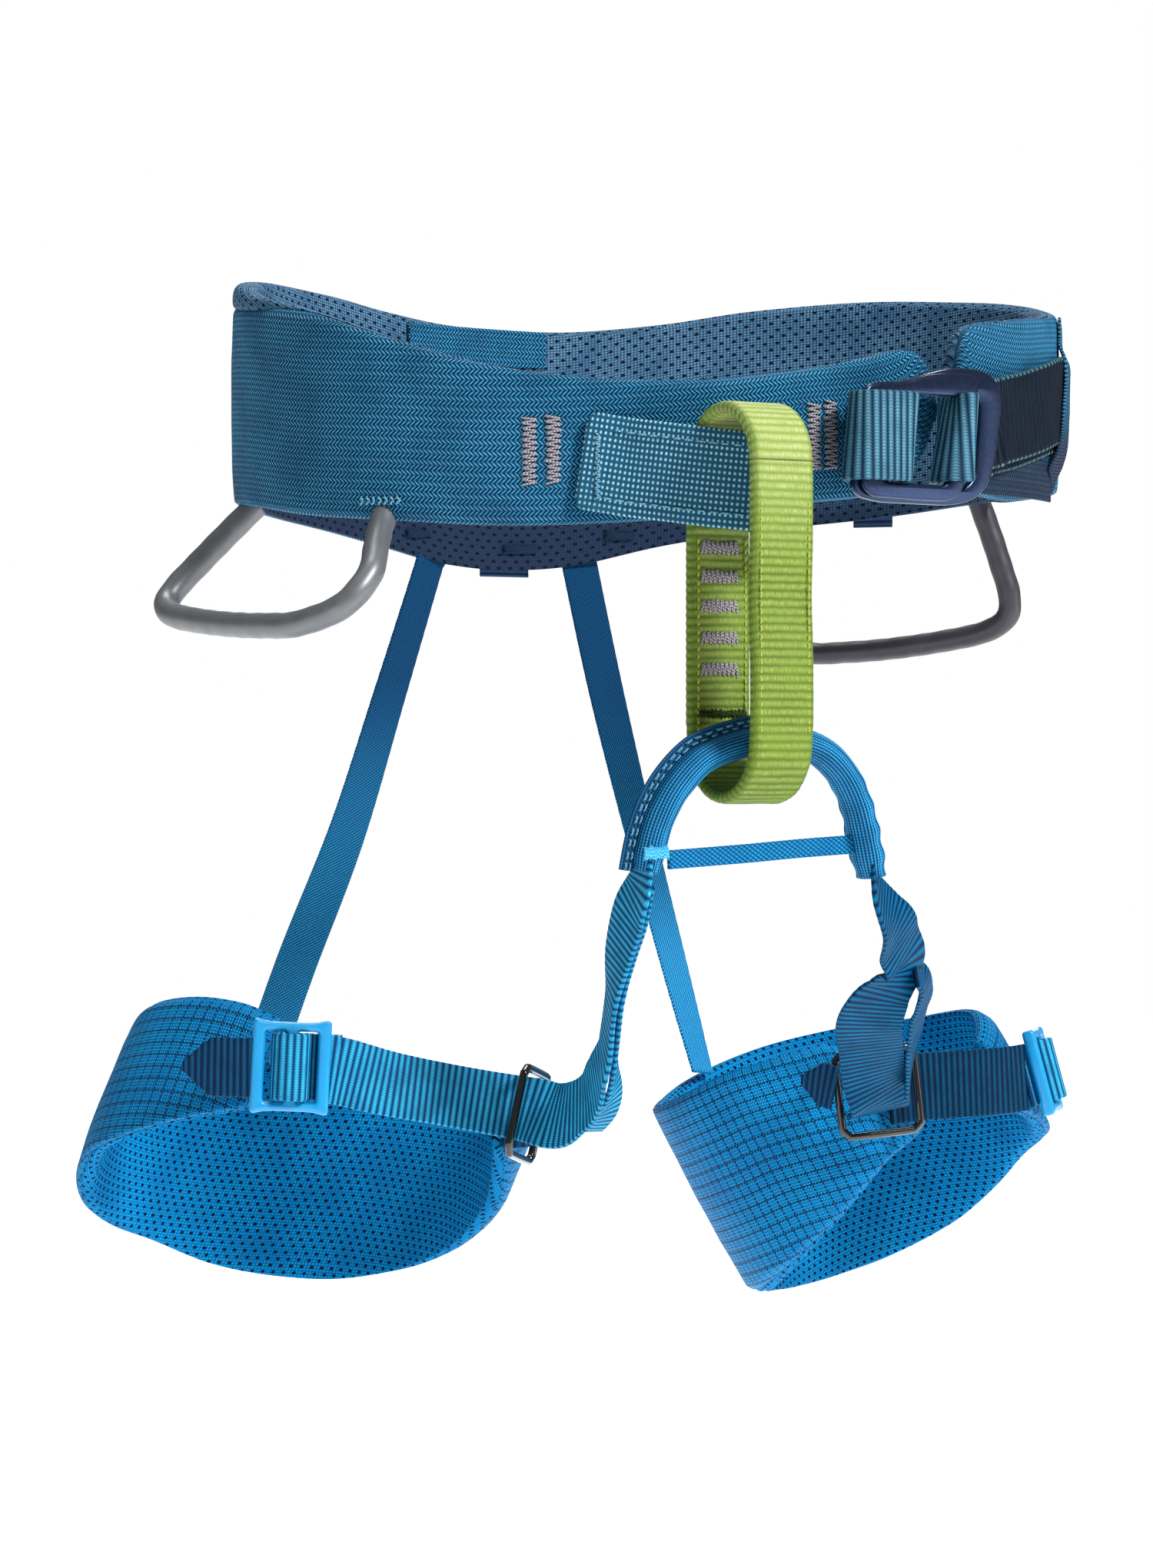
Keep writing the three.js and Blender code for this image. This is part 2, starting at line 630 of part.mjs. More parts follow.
/** A point beside the waist buckle: s to the wearer's left along it, n out from the belt, z up. */
function atBuckle(s, n, z) {
  const centre = vec(...BUCKLE_CENTRE).add(vec(0, 0, z));
  return centre.addScaledVector(BUCKLE_ALONG, s).addScaledVector(BUCKLE_OUT, n);
}

/** A frame with a lower left side and one window of the same form. */
function taperedFrame({ left, right, edges, bars, rail, thick, corner }) {
  const outline = taperedOutline(new THREE.Shape(), left, right, edges, corner);
  const edgeAt = (x) => [0, 1].map((k) => {
    const slope = (edges[1][k] - edges[0][k]) / (right - left);
    return edges[0][k] + slope * (x - left) + (k ? -rail : rail);
  });
  const [from, to] = [left + bars[0], right - bars[1]];
  const window = taperedOutline(new THREE.Path(), from, to, [edgeAt(from), edgeAt(to)], corner / 3);
  outline.holes.push(window);
  return plate(outline, thick);
}

/** A trapezium on its side with rounded corners of radius r. */
function taperedOutline(path, left, right, [[lowL, highL], [lowR, highR]], r) {
  path.moveTo(left + r, lowL);
  path.lineTo(right - r, lowR);
  path.quadraticCurveTo(right, lowR, right, lowR + r);
  path.lineTo(right, highR - r);
  path.quadraticCurveTo(right, highR, right - r, highR);
  path.lineTo(left + r, highL);
  path.quadraticCurveTo(left, highL, left, highL - r);
  path.lineTo(left, lowL + r);
  path.quadraticCurveTo(left, lowL, left + r, lowL);
  return path;
}

function waistBuckle() {
  const finish = { roughness: 0.45, metalness: 0.7 };
  for (const [name, form] of [['buckle_outer_frame', OUTER_FRAME], ['buckle_inner_frame', INNER_FRAME]]) {
    const mesh = add(name, taperedFrame(form), COLOURS.aluminium, finish);
    pose(mesh, atBuckle(0, form.out, 0).toArray(), BUCKLE_ALONG.toArray(), [0, 0, 1]);
  }
}

/** Stations beside the buckle from [s, n, z]. */
const besideBuckle = (stations) => stations.map(([s, n, z]) => [...atBuckle(s, n, z).toArray(), 0, 0, 1]);

function waistWebbing() {
  const anchor = besideBuckle([
    [-30.5, -9.6, -3.4], [-28.6, -6.2, -3.4], [-27.4, -1.5, -3.4], [-26.6, 3.4, -3.4], [-23.4, 6.4, -3.4],
    [-16, 7, -3.4], [-10, 6.4, -3.4], [-7.2, 3.6, -3.4], [-7, -0.5, -3.4], [-9.4, -4, -3.4],
    [-15, -5.6, -3.4], [-22.6, -6.4, -3.4],
  ]);
  add('waist_webbing_anchor', strap(anchor, WAIST_WEBBING, 2), COLOURS.webbing);
  const wrap = besideBuckle([
    [20.4, -3.8, -1.7], [18.2, -2.6, -1.8], [16.9, 0.6, -2], [16.2, 4.6, -2.2], [13.4, 6.4, -2.4],
    [9, 6.4, -2.6], [6.2, 4.4, -2.8], [5.4, 0.4, -3], [6.6, -4, -3], [12, -6.6, -2.5], [20.4, -7.2, -2],
  ]);
  add('waist_strap_wrap', strap(wrap, WAIST_WEBBING, 2), COLOURS.webbing);
  const tail = [
    ...besideBuckle([[27.5, -4.9, 1.1], [30, -5.7, 2.3], [33, -6.6, 3.6]]),
    ...onBelt([
      [-50, 4.2, 7.5], [-42, 3.6, 11], [-34, 2.6, 14], [-26, 2.4, 16], [-18, 2.4, 17], [-10, 2.2, 17.6],
    ]),
  ];
  add('waist_strap_tail', strap(tail, WAIST_WEBBING, 2), COLOURS.darkWebbing);
  const base = [
    ...besideBuckle([[24, -7.6, -2], [28, -8.6, -1.4], [32, -10, -0.2]]),
    ...onBelt([[-54, 1.6, 2], [-49, 1.2, 3.6], [-44, 1.2, 5]]),
  ];
  add('waist_strap_base', strap(base, WAIST_WEBBING, 2), COLOURS.darkWebbing);
}

/** The fabric band that holds the strap's tail against the belt. */
function strapKeeper() {
  const stations = [[1.2, 37.5], [2.6, 35], [4.4, 31.4], [4.6, 17], [4.4, 1.4], [2.6, -5], [1.2, -10]];
  add('strap_keeper', strap(upTheBelt(KEEPER.angle, stations), KEEPER), COLOURS.shell);
}

// ---------------------------------------------------------------- gear loops and tabs

// The moulded tube in its own plane: [along the belt, down from the belt].
const GEAR_SHAPE = [
  [0, 2], [-4.5, 10], [-10.5, 21], [-8, 32.5], [6, 38.4], [20, 38.6], [36, 37.6], [54, 35.4],
  [68, 32.6], [75.4, 28], [76.4, 21], [74.4, 13], [72, 4.5], [69.5, -3.4],
];
// Where each chord starts and which way it runs, and how far the loop swings out, in degrees.
const GEAR_LOOPS = {
  right: { from: [-94.5, -52, -27.5], to: [-114.5, 13, -20.5], tilt: 42 },
  left: { from: [96, 74, -19.5], to: [139, 21, -14], tilt: 8 },
};

function gearLoop(side) {
  const { from, to, tilt } = GEAR_LOOPS[side];
  const start = vec(...from);
  const along = vec(...to).sub(start).setZ(0).normalize();
  const away = vec(along.y, -along.x, 0);
  if (away.dot(start) < 0) away.negate();
  const swing = radians(tilt);
  const down = away.clone().multiplyScalar(Math.sin(swing)).add(vec(0, 0, -Math.cos(swing)));
  const across = vec(0, 0, 0).crossVectors(along, down);
  const path = GEAR_SHAPE.map(([s, d]) => {
    const p = start.clone().addScaledVector(along, s).addScaledVector(down, d);
    return [...p.toArray(), ...across.toArray()];
  });
  const section = ellipseSection(2 * GEAR.radius, 2 * GEAR.radius, GEAR.sides);
  add(`gear_loop_${side}`, sweep(spline(path, 2), section), COLOURS.gear);
}

/** Small webbing tabs sewn on the belt's outer face: name, angle, bottom, top, width. */
const TABS = [
  ['haul_tab', 92.5, -34.2, -14, 17],
  ['side_tab_left', 35, -17.8, 0, 13],
];

function tabs() {
  for (const [name, angle, bottom, top, width] of TABS) {
    const stations = [bottom, (bottom + top) / 2, top].map((z) => [GAP + TAB_THICK / 2, z]);
    add(name, strap(upTheBelt(angle, stations), { width, thick: TAB_THICK }, 1), COLOURS.mesh);
  }
}

// ---------------------------------------------------------------- assembly

beltBody();
strapKeeper();
waistBuckle();
waistWebbing();
tabs();
gearLoop('left');
gearLoop('right');
tieInSheath();
belayLoop();
legArch();
crossStrap();
bridges();
risers();
legPad('left', LEFT_PAD, 1);
legPad('right', RIGHT_PAD, -1);
legHardware('left');
legHardware('right');

export default parts;
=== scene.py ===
# Looks of a climbing harness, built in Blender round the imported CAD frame.
# The frame is in metres; lengths in this script are in millimetres until a mesh is made.
import math
from functools import partialmethod
import bpy
import bmesh
from mathutils import Matrix, Vector, noise


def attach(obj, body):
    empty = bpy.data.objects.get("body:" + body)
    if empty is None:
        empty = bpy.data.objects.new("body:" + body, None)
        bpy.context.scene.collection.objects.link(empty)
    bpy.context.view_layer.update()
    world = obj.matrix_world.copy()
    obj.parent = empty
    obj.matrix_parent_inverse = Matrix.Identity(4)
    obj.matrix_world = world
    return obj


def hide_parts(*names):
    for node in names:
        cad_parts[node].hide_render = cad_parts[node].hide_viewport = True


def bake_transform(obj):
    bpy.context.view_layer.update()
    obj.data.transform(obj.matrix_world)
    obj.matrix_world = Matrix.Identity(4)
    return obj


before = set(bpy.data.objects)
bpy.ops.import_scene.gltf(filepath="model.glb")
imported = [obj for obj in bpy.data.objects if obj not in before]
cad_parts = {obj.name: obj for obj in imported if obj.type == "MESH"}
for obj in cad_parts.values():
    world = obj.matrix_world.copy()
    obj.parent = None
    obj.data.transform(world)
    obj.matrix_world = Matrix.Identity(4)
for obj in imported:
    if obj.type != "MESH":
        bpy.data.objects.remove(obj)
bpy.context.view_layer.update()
MM = 0.001


# ---- camera, light, floor

def camera():
    data = bpy.data.cameras.new("camera")
    data.lens = 100
    data.sensor_width = 36
    data.clip_start = 0.05
    obj = bpy.data.objects.new("camera", data)
    obj.location = (-0.5562, -1.1681, -0.100)
    obj.rotation_euler = (math.radians(90), 0, math.radians(-25))
    bpy.context.scene.collection.objects.link(obj)
    bpy.context.scene.camera = obj


LIGHTS = {
    "key": ((0.65, -1.5, 1.2), 0.45, 54),
    "left": ((-1.6, -0.9, -0.5), 0.7, 2.5),
    "fill": ((1.5, -1.1, -0.3), 0.9, 6),
    "top": ((0.1, 0.4, 1.5), 0.8, 18),
    "rim": ((0.7, 1.6, 0.5), 0.8, 8),
}
SURROUNDINGS = 0.24


def area_light(name, place, size, power):
    data = bpy.data.lights.new(name, "AREA")
    data.shape = "DISK"
    data.size = size
    data.energy = power
    obj = bpy.data.objects.new(name, data)
    obj.location = place
    aim = Vector((0, 0, -0.1)) - Vector(place)
    obj.rotation_euler = aim.to_track_quat("-Z", "Y").to_euler()
    bpy.context.scene.collection.objects.link(obj)


def studio():
    """White backdrop for the camera, dimmer surroundings for the light that falls on the object."""
    world = bpy.data.worlds.new("studio")
    world.use_nodes = True
    tree = world.node_tree
    seen = tree.nodes["Background"]
    seen.inputs["Color"].default_value = (1, 1, 1, 1)
    around = tree.nodes.new("ShaderNodeBackground")
    around.inputs["Color"].default_value = (1, 1, 1, 1)
    around.inputs["Strength"].default_value = SURROUNDINGS
    ray = tree.nodes.new("ShaderNodeLightPath")
    mix = tree.nodes.new("ShaderNodeMixShader")
    tree.links.new(ray.outputs["Is Camera Ray"], mix.inputs[0])
    tree.links.new(around.outputs[0], mix.inputs[1])
    tree.links.new(seen.outputs[0], mix.inputs[2])
    tree.links.new(mix.outputs[0], tree.nodes["World Output"].inputs["Surface"])
    bpy.context.scene.world = world
    bpy.context.scene.view_settings.view_transform = "Standard"
    for name, (place, size, power) in LIGHTS.items():
        area_light(name, place, size, power)
    mesh = bpy.data.meshes.new("floor")
    reach, low = 9, -0.75
    mesh.from_pydata([(-reach, -reach, low), (reach, -reach, low), (reach, reach, low), (-reach, reach, low)],
                     [], [(0, 1, 2, 3)])
    floor = bpy.data.objects.new("floor", mesh)
    bpy.context.scene.collection.objects.link(floor)
    material = bpy.data.materials.new("floor_paper")
    material.use_nodes = True
    shader = material.node_tree.nodes["Principled BSDF"]
    shader.inputs["Base Color"].default_value = (0.93, 0.93, 0.93, 1)
    shader.inputs["Roughness"].default_value = 0.95
    shader.inputs["Emission Color"].default_value = (1, 1, 1, 1)
    shader.inputs["Emission Strength"].default_value = 1.0
    mesh.materials.append(material)


# ---- curves and sweeps

def spline(rows, per_span, closed=False):
    """Catmull-Rom through rows of numbers."""
    count = len(rows)
    pick = (lambda i: rows[i % count]) if closed else (lambda i: rows[min(max(i, 0), count - 1)])
    out = []
    for i in range(count if closed else count - 1):
        a, b, c, d = (pick(i + k) for k in (-1, 0, 1, 2))
        for k in range(per_span):
            t = k / per_span
            out.append([q + 0.5 * ((r - p) * t + (2 * p - 5 * q + 4 * r - s) * t * t
                                   + (3 * q - p - 3 * r + s) * t ** 3) for p, q, r, s in zip(a, b, c, d)])
    return out if closed else out + [list(rows[-1])]


def resample(rows, step, closed=False):
    """The smooth curve through the rows, with points a step apart, as (distance, row) pairs."""
    fine = spline(rows, 24, closed)
    if closed:
        fine.append(fine[0])
    lengths = [0.0]
    for p, q in zip(fine, fine[1:]):
        lengths.append(lengths[-1] + math.dist(p[:3], q[:3]))
    count = max(3, round(lengths[-1] / step))
    out, k = [], 0
    for i in range(count + 1):
        want = lengths[-1] * i / count
        while k < len(lengths) - 2 and lengths[k + 1] < want:
            k += 1
        t = (want - lengths[k]) / max(lengths[k + 1] - lengths[k], 1e-9)
        out.append((want, [a + (b - a) * t for a, b in zip(fine[k], fine[k + 1])]))
    return out


def frames_along(stations):
    """(distance, point, side, face) for stations of (distance, [x y z sideX sideY sideZ])."""
    points = [Vector(row[:3]) for _, row in stations]
    last = len(points) - 1
    closed = (points[0] - points[last]).length < 1e-3
    out = []
    for i, (distance, row) in enumerate(stations):
        after = points[i + 1] if i < last else points[1] if closed else points[i]
        before = points[i - 1] if i else points[last - 1] if closed else points[i]
        along = (after - before).normalized()
        side = Vector(row[3:6])
        side = (side - along * side.dot(along)).normalized()
        out.append((distance, points[i], side, along.cross(side)))
    return out


def grid_mesh(name, rings, coordinates, material, closed=False):
    """A mesh through rings of points in mm, with a fabric coordinate for each point: across, along."""
    sides = len(rings[0])
    faces = []
    for i in range(len(rings) - (0 if closed else 1)):
        here, there = i * sides, (i + 1) % len(rings) * sides
        for j in range(sides):
            k = (j + 1) % sides
            faces.append((here + j, there + j, there + k, here + k))
    if not closed:
        faces.append(tuple(range(sides)))
        faces.append(tuple(reversed(range((len(rings) - 1) * sides, len(rings) * sides))))
    return plain_mesh(name, [p for ring in rings for p in ring], faces, material,
                      [c for ring in coordinates for c in ring])


def plain_mesh(name, points, faces, material, coordinates=None):
    mesh = bpy.data.meshes.new(name)
    mesh.from_pydata([tuple(c * MM for c in p) for p in points], [], faces)
    if coordinates:
        layer = mesh.attributes.new("st", "FLOAT_VECTOR", "POINT")
        layer.data.foreach_set("vector", [float(c) for triple in coordinates for c in (*triple, 0)[:3]])
    mesh.materials.append(material)
    work = bmesh.new()
    work.from_mesh(mesh)
    bmesh.ops.recalc_face_normals(work, faces=work.faces)
    work.to_mesh(mesh)
    work.free()
    mesh.shade_smooth()
    obj = bpy.data.objects.new(name, mesh)
    bpy.context.scene.collection.objects.link(obj)
    return obj


def strap_section(width, thick, across):
    """Points of a flat band's section with round edges: (u, v, face) going round once."""
    edge = thick / 2
    flat = [-width / 2 + edge + (width - thick) * i / across for i in range(across + 1)]
    right = [(width / 2 - edge + edge * math.sin(a), edge * math.cos(a)) for a in (0.6, 1.2, 1.57, 1.94, 2.54)]
    top = [(u, edge) for u in flat]
    bottom = [(u, -edge) for u in reversed(flat)]
    left = [(-u, -v) for u, v in right]
    return top + right + bottom + left


def ribbon(name, rows, width, thick, material, step=0.8, relief=None, across=8, closed=False, widen=None):
    """A webbing: a flat band along rows of [x y z sideX sideY sideZ], with relief(along, across) in mm."""
    rings, coordinates = [], []
    for distance, point, side, face in frames_along(resample(rows, step, closed)):
        wide = width if widen is None else widen(distance)
        section = strap_section(wide, thick, across)
        ring = []
        for u, v in section:
            lift = relief(distance, u) if relief else 0
            ring.append(point + side * u + face * (v + math.copysign(lift, v)))
        rings.append(ring)
        coordinates.append([(u, distance) for u, _ in section])
    if closed:
        rings, coordinates = rings[:-1], coordinates[:-1]
    return grid_mesh(name, rings, coordinates, material, closed=closed)


def tube(name, rows, radius, material, sides=14, step=1.5, flat=1.0, relief=None, closed=False):
    """A round or flattened solid tube; flat scales it along its face direction."""
    rings, coordinates = [], []
    for distance, point, side, face in frames_along(resample(rows, step, closed)):
        ring, row = [], []
        for j in range(sides):
            angle = 2 * math.pi * j / sides
            r = radius + (relief(distance, angle) if relief else 0)
            ring.append(point + side * (r * math.cos(angle)) + face * (r * flat * math.sin(angle)))
            row.append((radius * angle, distance))
        rings.append(ring)
        coordinates.append(row)
    if closed:
        rings, coordinates = rings[:-1], coordinates[:-1]
    return grid_mesh(name, rings, coordinates, material, closed=closed)


def ribs(pitch, height):
    """Relief of cross ribs, flattened on top as woven cords are."""
    def relief(distance, _):
        return height * (1 - abs(math.sin(math.pi * distance / pitch)) ** 3)
    return relief


# ---- materials

def rgb(code):
    """Linear colour of a hex code."""
    parts = [int(code[i:i + 2], 16) / 255 for i in (0, 2, 4)]
    return (*[c / 12.92 if c <= 0.04045 else ((c + 0.055) / 1.055) ** 2.4 for c in parts], 1)


class Look:
    """A node material written as arithmetic on the fabric coordinate: x across, y along, in mm."""

    def __init__(self, name, roughness, metallic=0.0, coat=0.0, specular=0.06):
        self.material = bpy.data.materials.new(name)
        self.material.use_nodes = True
        self.tree = self.material.node_tree
        self.shader = self.tree.nodes["Principled BSDF"]
        for socket, value in (("Roughness", roughness), ("Metallic", metallic),
                              ("Coat Weight", coat), ("Specular IOR Level", specular)):
            self.shader.inputs[socket].default_value = value
        self.shader.inputs["Coat Roughness"].default_value = 0.2
        self.place = self.node("ShaderNodeAttribute", attribute_name="st").outputs["Vector"]
        parts = self.node("ShaderNodeSeparateXYZ", Vector=self.place).outputs
        self.x, self.y = parts["X"], parts["Y"]

    def node(self, kind, **settings):
        made = self.tree.nodes.new(kind)
        for key, value in settings.items():
            if key in made.inputs:
                self.feed(made.inputs[key], value)
            else:
                setattr(made, key, value)
        return made

    def feed(self, socket, value):
        if isinstance(value, bpy.types.NodeSocket):
            self.tree.links.new(value, socket)
        else:
            socket.default_value = value

    def math(self, operation, *values):
        made = self.node("ShaderNodeMath", operation=operation)
        for socket, value in zip(made.inputs, values):
            self.feed(socket, value)
        return made.outputs[0]

    plus, minus = partialmethod(math, "ADD"), partialmethod(math, "SUBTRACT")
    times, over = partialmethod(math, "MULTIPLY"), partialmethod(math, "DIVIDE")
    scaled, power = partialmethod(math, "MULTIPLY_ADD"), partialmethod(math, "POWER")
    size, fraction = partialmethod(math, "ABSOLUTE"), partialmethod(math, "FRACT")

    def mix(self, factor, first, second):
        made = self.node("ShaderNodeMix", data_type="RGBA", clamp_factor=True)
        self.feed(made.inputs[0], factor)
        self.feed(made.inputs[6], first)
        self.feed(made.inputs[7], second)
        return made.outputs[2]

    def wave(self, place, pitch, phase=0.0):
        turn = self.scaled(place, 2 * math.pi / pitch, phase)
        return self.scaled(self.math("COSINE", turn), 0.5, 0.5)

    def triangle(self, place, pitch):
        return self.math("PINGPONG", self.over(place, pitch / 2), 1.0)

    def ramp(self, value, low, high):
        made = self.node("ShaderNodeMapRange", interpolation_type="SMOOTHSTEP")
        for socket, fed in zip(made.inputs, (value, low, high)):
            self.feed(socket, fed)
        return made.outputs[0]

    def noise(self, scale, detail=2.0, stretch=(1, 1, 1)):
        place = self.node("ShaderNodeVectorMath", operation="MULTIPLY")
        self.feed(place.inputs[0], self.place)
        self.feed(place.inputs[1], stretch)
        made = self.node("ShaderNodeTexNoise", Vector=place.outputs[0], Scale=scale, Detail=detail)
        return made.outputs["Fac"]

    def up(self, low, high):
        """0 below the low level and 1 above the high one, in mm of the frame's Z."""
        place = self.node("ShaderNodeTexCoord").outputs["Object"]
        level = self.node("ShaderNodeSeparateXYZ", Vector=place).outputs["Z"]
        return self.ramp(level, low * MM, high * MM)

    def finish(self, colour, height=None, depth=0.2, rough=None):
        """Connects the colour, the roughness, and a bump from a 0 to 1 height with its depth in mm."""
        self.feed(self.shader.inputs["Base Color"], colour)
        if rough is not None:
            self.feed(self.shader.inputs["Roughness"], rough)
        if height is not None:
            bump = self.node("ShaderNodeBump", Height=height, Distance=depth * MM, Strength=0.9)
            self.feed(self.shader.inputs["Normal"], bump.outputs[0])
        return self.material

    def varied(self, colour, darker, amount=0.5, scale=0.05):
        """The colour pulled toward a darker one by slow noise, as worn or unevenly dyed cloth."""
        patch = self.ramp(self.noise(scale, 3.0), 0.35, 0.75)
        return self.mix(self.times(patch, amount), colour, darker)


def twill(look, x, y, cell, band):
    """Broken twill: short slanted strokes that change side in bands across the cloth."""
    slant = look.times(look.triangle(x, 2 * band), band / cell)
    stroke = look.wave(look.plus(look.over(y, cell), slant), 1.0)
    gap = look.wave(x, band)
    return look.times(stroke, look.scaled(gap, -0.45, 1.0))


def holes(look, x, y, across, along, high, wide):
    """Staggered oval holes, 1 inside a hole."""
    row = look.math("FLOOR", look.over(x, across))
    shift = look.times(look.math("MODULO", look.size(row), 2.0), 0.5)
    cell = look.fraction(look.plus(look.over(y, along), shift))
    dx = look.scaled(look.fraction(look.over(x, across)), across, -across / 2)
    dy = look.scaled(cell, along, -along / 2)
    distance = look.plus(look.power(look.over(look.size(dx), high), 2.0),
                         look.power(look.over(look.size(dy), wide), 2.0))
    return look.ramp(distance, 1.35, 0.65)


def twill_cloth(name, valley, crown, patch, low=None):
    look = Look(name, 0.5, specular=0.1)
    weave = twill(look, look.x, look.y, 1.25, 1.5)
    colour = look.mix(look.power(weave, 1.7), rgb(valley), rgb(crown))
    if low:
        colour = look.mix(look.up(-2, 14), look.mix(weave, rgb(patch), rgb(low)), colour)
    return look.finish(look.varied(colour, rgb(patch), 0.4, 0.06), weave, 0.6)


def mesh_cloth(name, ground, light, hole, across, along, high, wide, shade=None):
    look = Look(name, 0.75)
    knit = look.times(look.wave(look.y, 1.1), look.wave(look.x, 0.85))
    open_part = holes(look, look.x, look.y, across, along, high, wide)
    colour = look.mix(knit, rgb(ground), rgb(light))
    colour = look.varied(colour, rgb(ground), 0.6, 0.07)
    # Painted shade: with a shade colour given, the mesh turns darker toward the bottom of the belt, where it lies
    # under the front.
    if shade:
        colour = look.mix(look.up(-19, 4), rgb(shade), colour)
    colour = look.mix(open_part, colour, rgb(hole))
    height = look.minus(look.times(knit, 0.5), look.times(open_part, 1.6))
    return look.finish(colour, height, 0.5)


def ripstop():
    look = Look("pad_ripstop", 0.5, specular=0.08)
    grain = look.times(look.wave(look.x, 0.85), look.wave(look.y, 0.85))
    colour = look.mix(grain, rgb("00609c"), rgb("00b0ea"))
    colour = look.varied(colour, rgb("005490"), 0.45, 0.05)

    def line(place, run):
        near = look.size(look.minus(look.fraction(look.over(place, 3.3)), 0.5))
        return look.times(look.ramp(near, 0.08, 0.05), look.ramp(look.wave(run, 1.1), 0.2, 0.4))
    grid = look.math("MAXIMUM", line(look.x, look.y), line(look.y, look.x))
    colour = look.mix(grid, colour, rgb("02142c"))
    return look.finish(colour, look.minus(grain, grid), 0.35)


def webbing(name, dark, light, pitch, edge=None, width=20, fine=0.55):
    """Cross-ribbed webbing whose cords show as light crowns between dark valleys, with dotted edges."""
    look = Look(name, 0.5)
    rib = look.wave(look.y, pitch, math.pi)
    yarn = look.wave(look.scaled(look.wave(look.y, pitch), 0.5 * fine, look.x), fine)
    crown = look.times(rib, look.scaled(yarn, 0.5, 0.5))
    colour = look.varied(look.mix(crown, rgb(dark), rgb(light)), rgb(dark), 0.35, 0.12)
    if edge:
        rim = look.ramp(look.size(look.x), width / 2 - 1.1, width / 2 - 0.6)
        dots = look.ramp(look.wave(look.y, 1.15), 0.35, 0.75)
        colour = look.mix(rim, colour, look.mix(dots, rgb(dark), rgb(edge)))
        crown = look.mix(rim, crown, dots)
    return look.finish(colour, crown, 0.3)


def sheath_cloth():
    look = Look("sheath_webbing", 0.6)
    dot = look.times(look.wave(look.x, 1.65), look.wave(look.y, 1.4))
    rows = look.ramp(dot, 0.1, 0.9)
    colour = look.mix(rows, rgb("184a66"), rgb("98ccda"))
    return look.finish(look.varied(colour, rgb("17506e"), 0.35, 0.08), rows, 0.4)


def grosgrain():
    look = Look("belay_grosgrain", 0.5, specular=0.2)
    shift = look.scaled(look.noise(0.5, 2.0, (1, 0.3, 1)), 0.5, -0.25)
    rib = look.power(look.wave(look.plus(look.y, shift), BELAY_RIB, math.pi), 0.8)
    yarn = look.noise(1.0, 3.0, (2.6, 0.35, 1))
    crown = look.times(rib, look.scaled(look.ramp(yarn, 0.3, 0.7), 0.55, 0.45))
    # Painted light: the loop's valley and crown colours turn lighter toward its top, where the light falls from
    # above.
    painted_top_light = look.up(-48, 2)
    colour = look.mix(crown, look.mix(painted_top_light, rgb("4a6210"), rgb("7c8f38")),
                      look.mix(painted_top_light, rgb("8c9e48"), rgb("bac48a")))
    patch = look.ramp(look.noise(0.09, 2.0), 0.4, 0.7)
    colour = look.mix(look.times(patch, 0.25), colour, rgb("71902a"))
    # Painted shade: the loop's rounded edges are darkened.
    edge = look.ramp(look.size(look.x), 7.4, 9.0)
    colour = look.mix(look.times(edge, 0.55), colour, rgb("4a6614"))
    return look.finish(colour, crown, 0.4)


def lengthwise(name, dark, light, pitch, cross):
    """Cords that run along the piece, crossed by fine yarns."""
    look = Look(name, 0.6, specular=0.1)
    cord = look.wave(look.x, pitch)
    yarn = look.wave(look.y, cross)
    crown = look.times(cord, look.scaled(yarn, 0.55, 0.45))
    return look.finish(look.varied(look.mix(crown, rgb(dark), rgb(light)), rgb(dark), 0.3, 0.1), crown, 0.3)


def diagonal(name, dark, light, pitch):
    look = Look(name, 0.62)
    first = look.wave(look.plus(look.x, look.times(look.y, 0.8)), pitch)
    second = look.wave(look.minus(look.x, look.times(look.y, 0.8)), pitch)
    crown = look.times(first, look.scaled(second, 0.7, 0.3))
    return look.finish(look.varied(look.mix(crown, rgb(dark), rgb(light)), rgb(dark), 0.3, 0.08), crown, 0.2)


def riser_knit():
    """Diagonal knit, dark near the belt and lighter toward the leg loops."""
    look = Look("riser_knit", 0.6)
    crossing = [look.wave(look.scaled(look.y, lean, look.x), 0.95) for lean in (0.8, -0.8)]
    crown = look.times(crossing[0], look.scaled(crossing[1], 0.7, 0.3))
    upper = look.mix(crown, rgb("001a36"), rgb("0a5484"))
    lower = look.mix(crown, rgb("005288"), rgb("46bcf0"))
    return look.finish(look.mix(look.up(-175, -60), lower, upper), crown, 0.2)


def moulded(name, base, worn, roughness=0.35, coat=0.0, metallic=0.0, grain=0.6):
    """Plastic or coated metal: slight mottling, fine grain in the bump and uneven gloss."""
    look = Look(name, roughness, coat=coat, metallic=metallic, specular=0.5)
    patch = look.noise(0.12, 4.0)
    grit = look.noise(grain, 5.0)
    colour = look.mix(look.times(look.ramp(patch, 0.4, 0.8), 0.5), rgb(base), rgb(worn))
    rough = look.scaled(grit, 0.16, roughness - 0.08)
    return look.finish(colour, grit, 0.03, rough)


def thread(name, dark, light):
    look = Look(name, 0.55)
    twist = look.wave(look.plus(look.x, look.y), 0.9)
    return look.finish(look.mix(twist, rgb(dark), rgb(light)), twist, 0.1)


# webbing thickness and the pitches of the webbings' ribs
THICK = 1.3
LEG_RIB, WAIST_RIB, DARK_RIB, BELAY_RIB = 1.85, 2.3, 1.75, 2.25

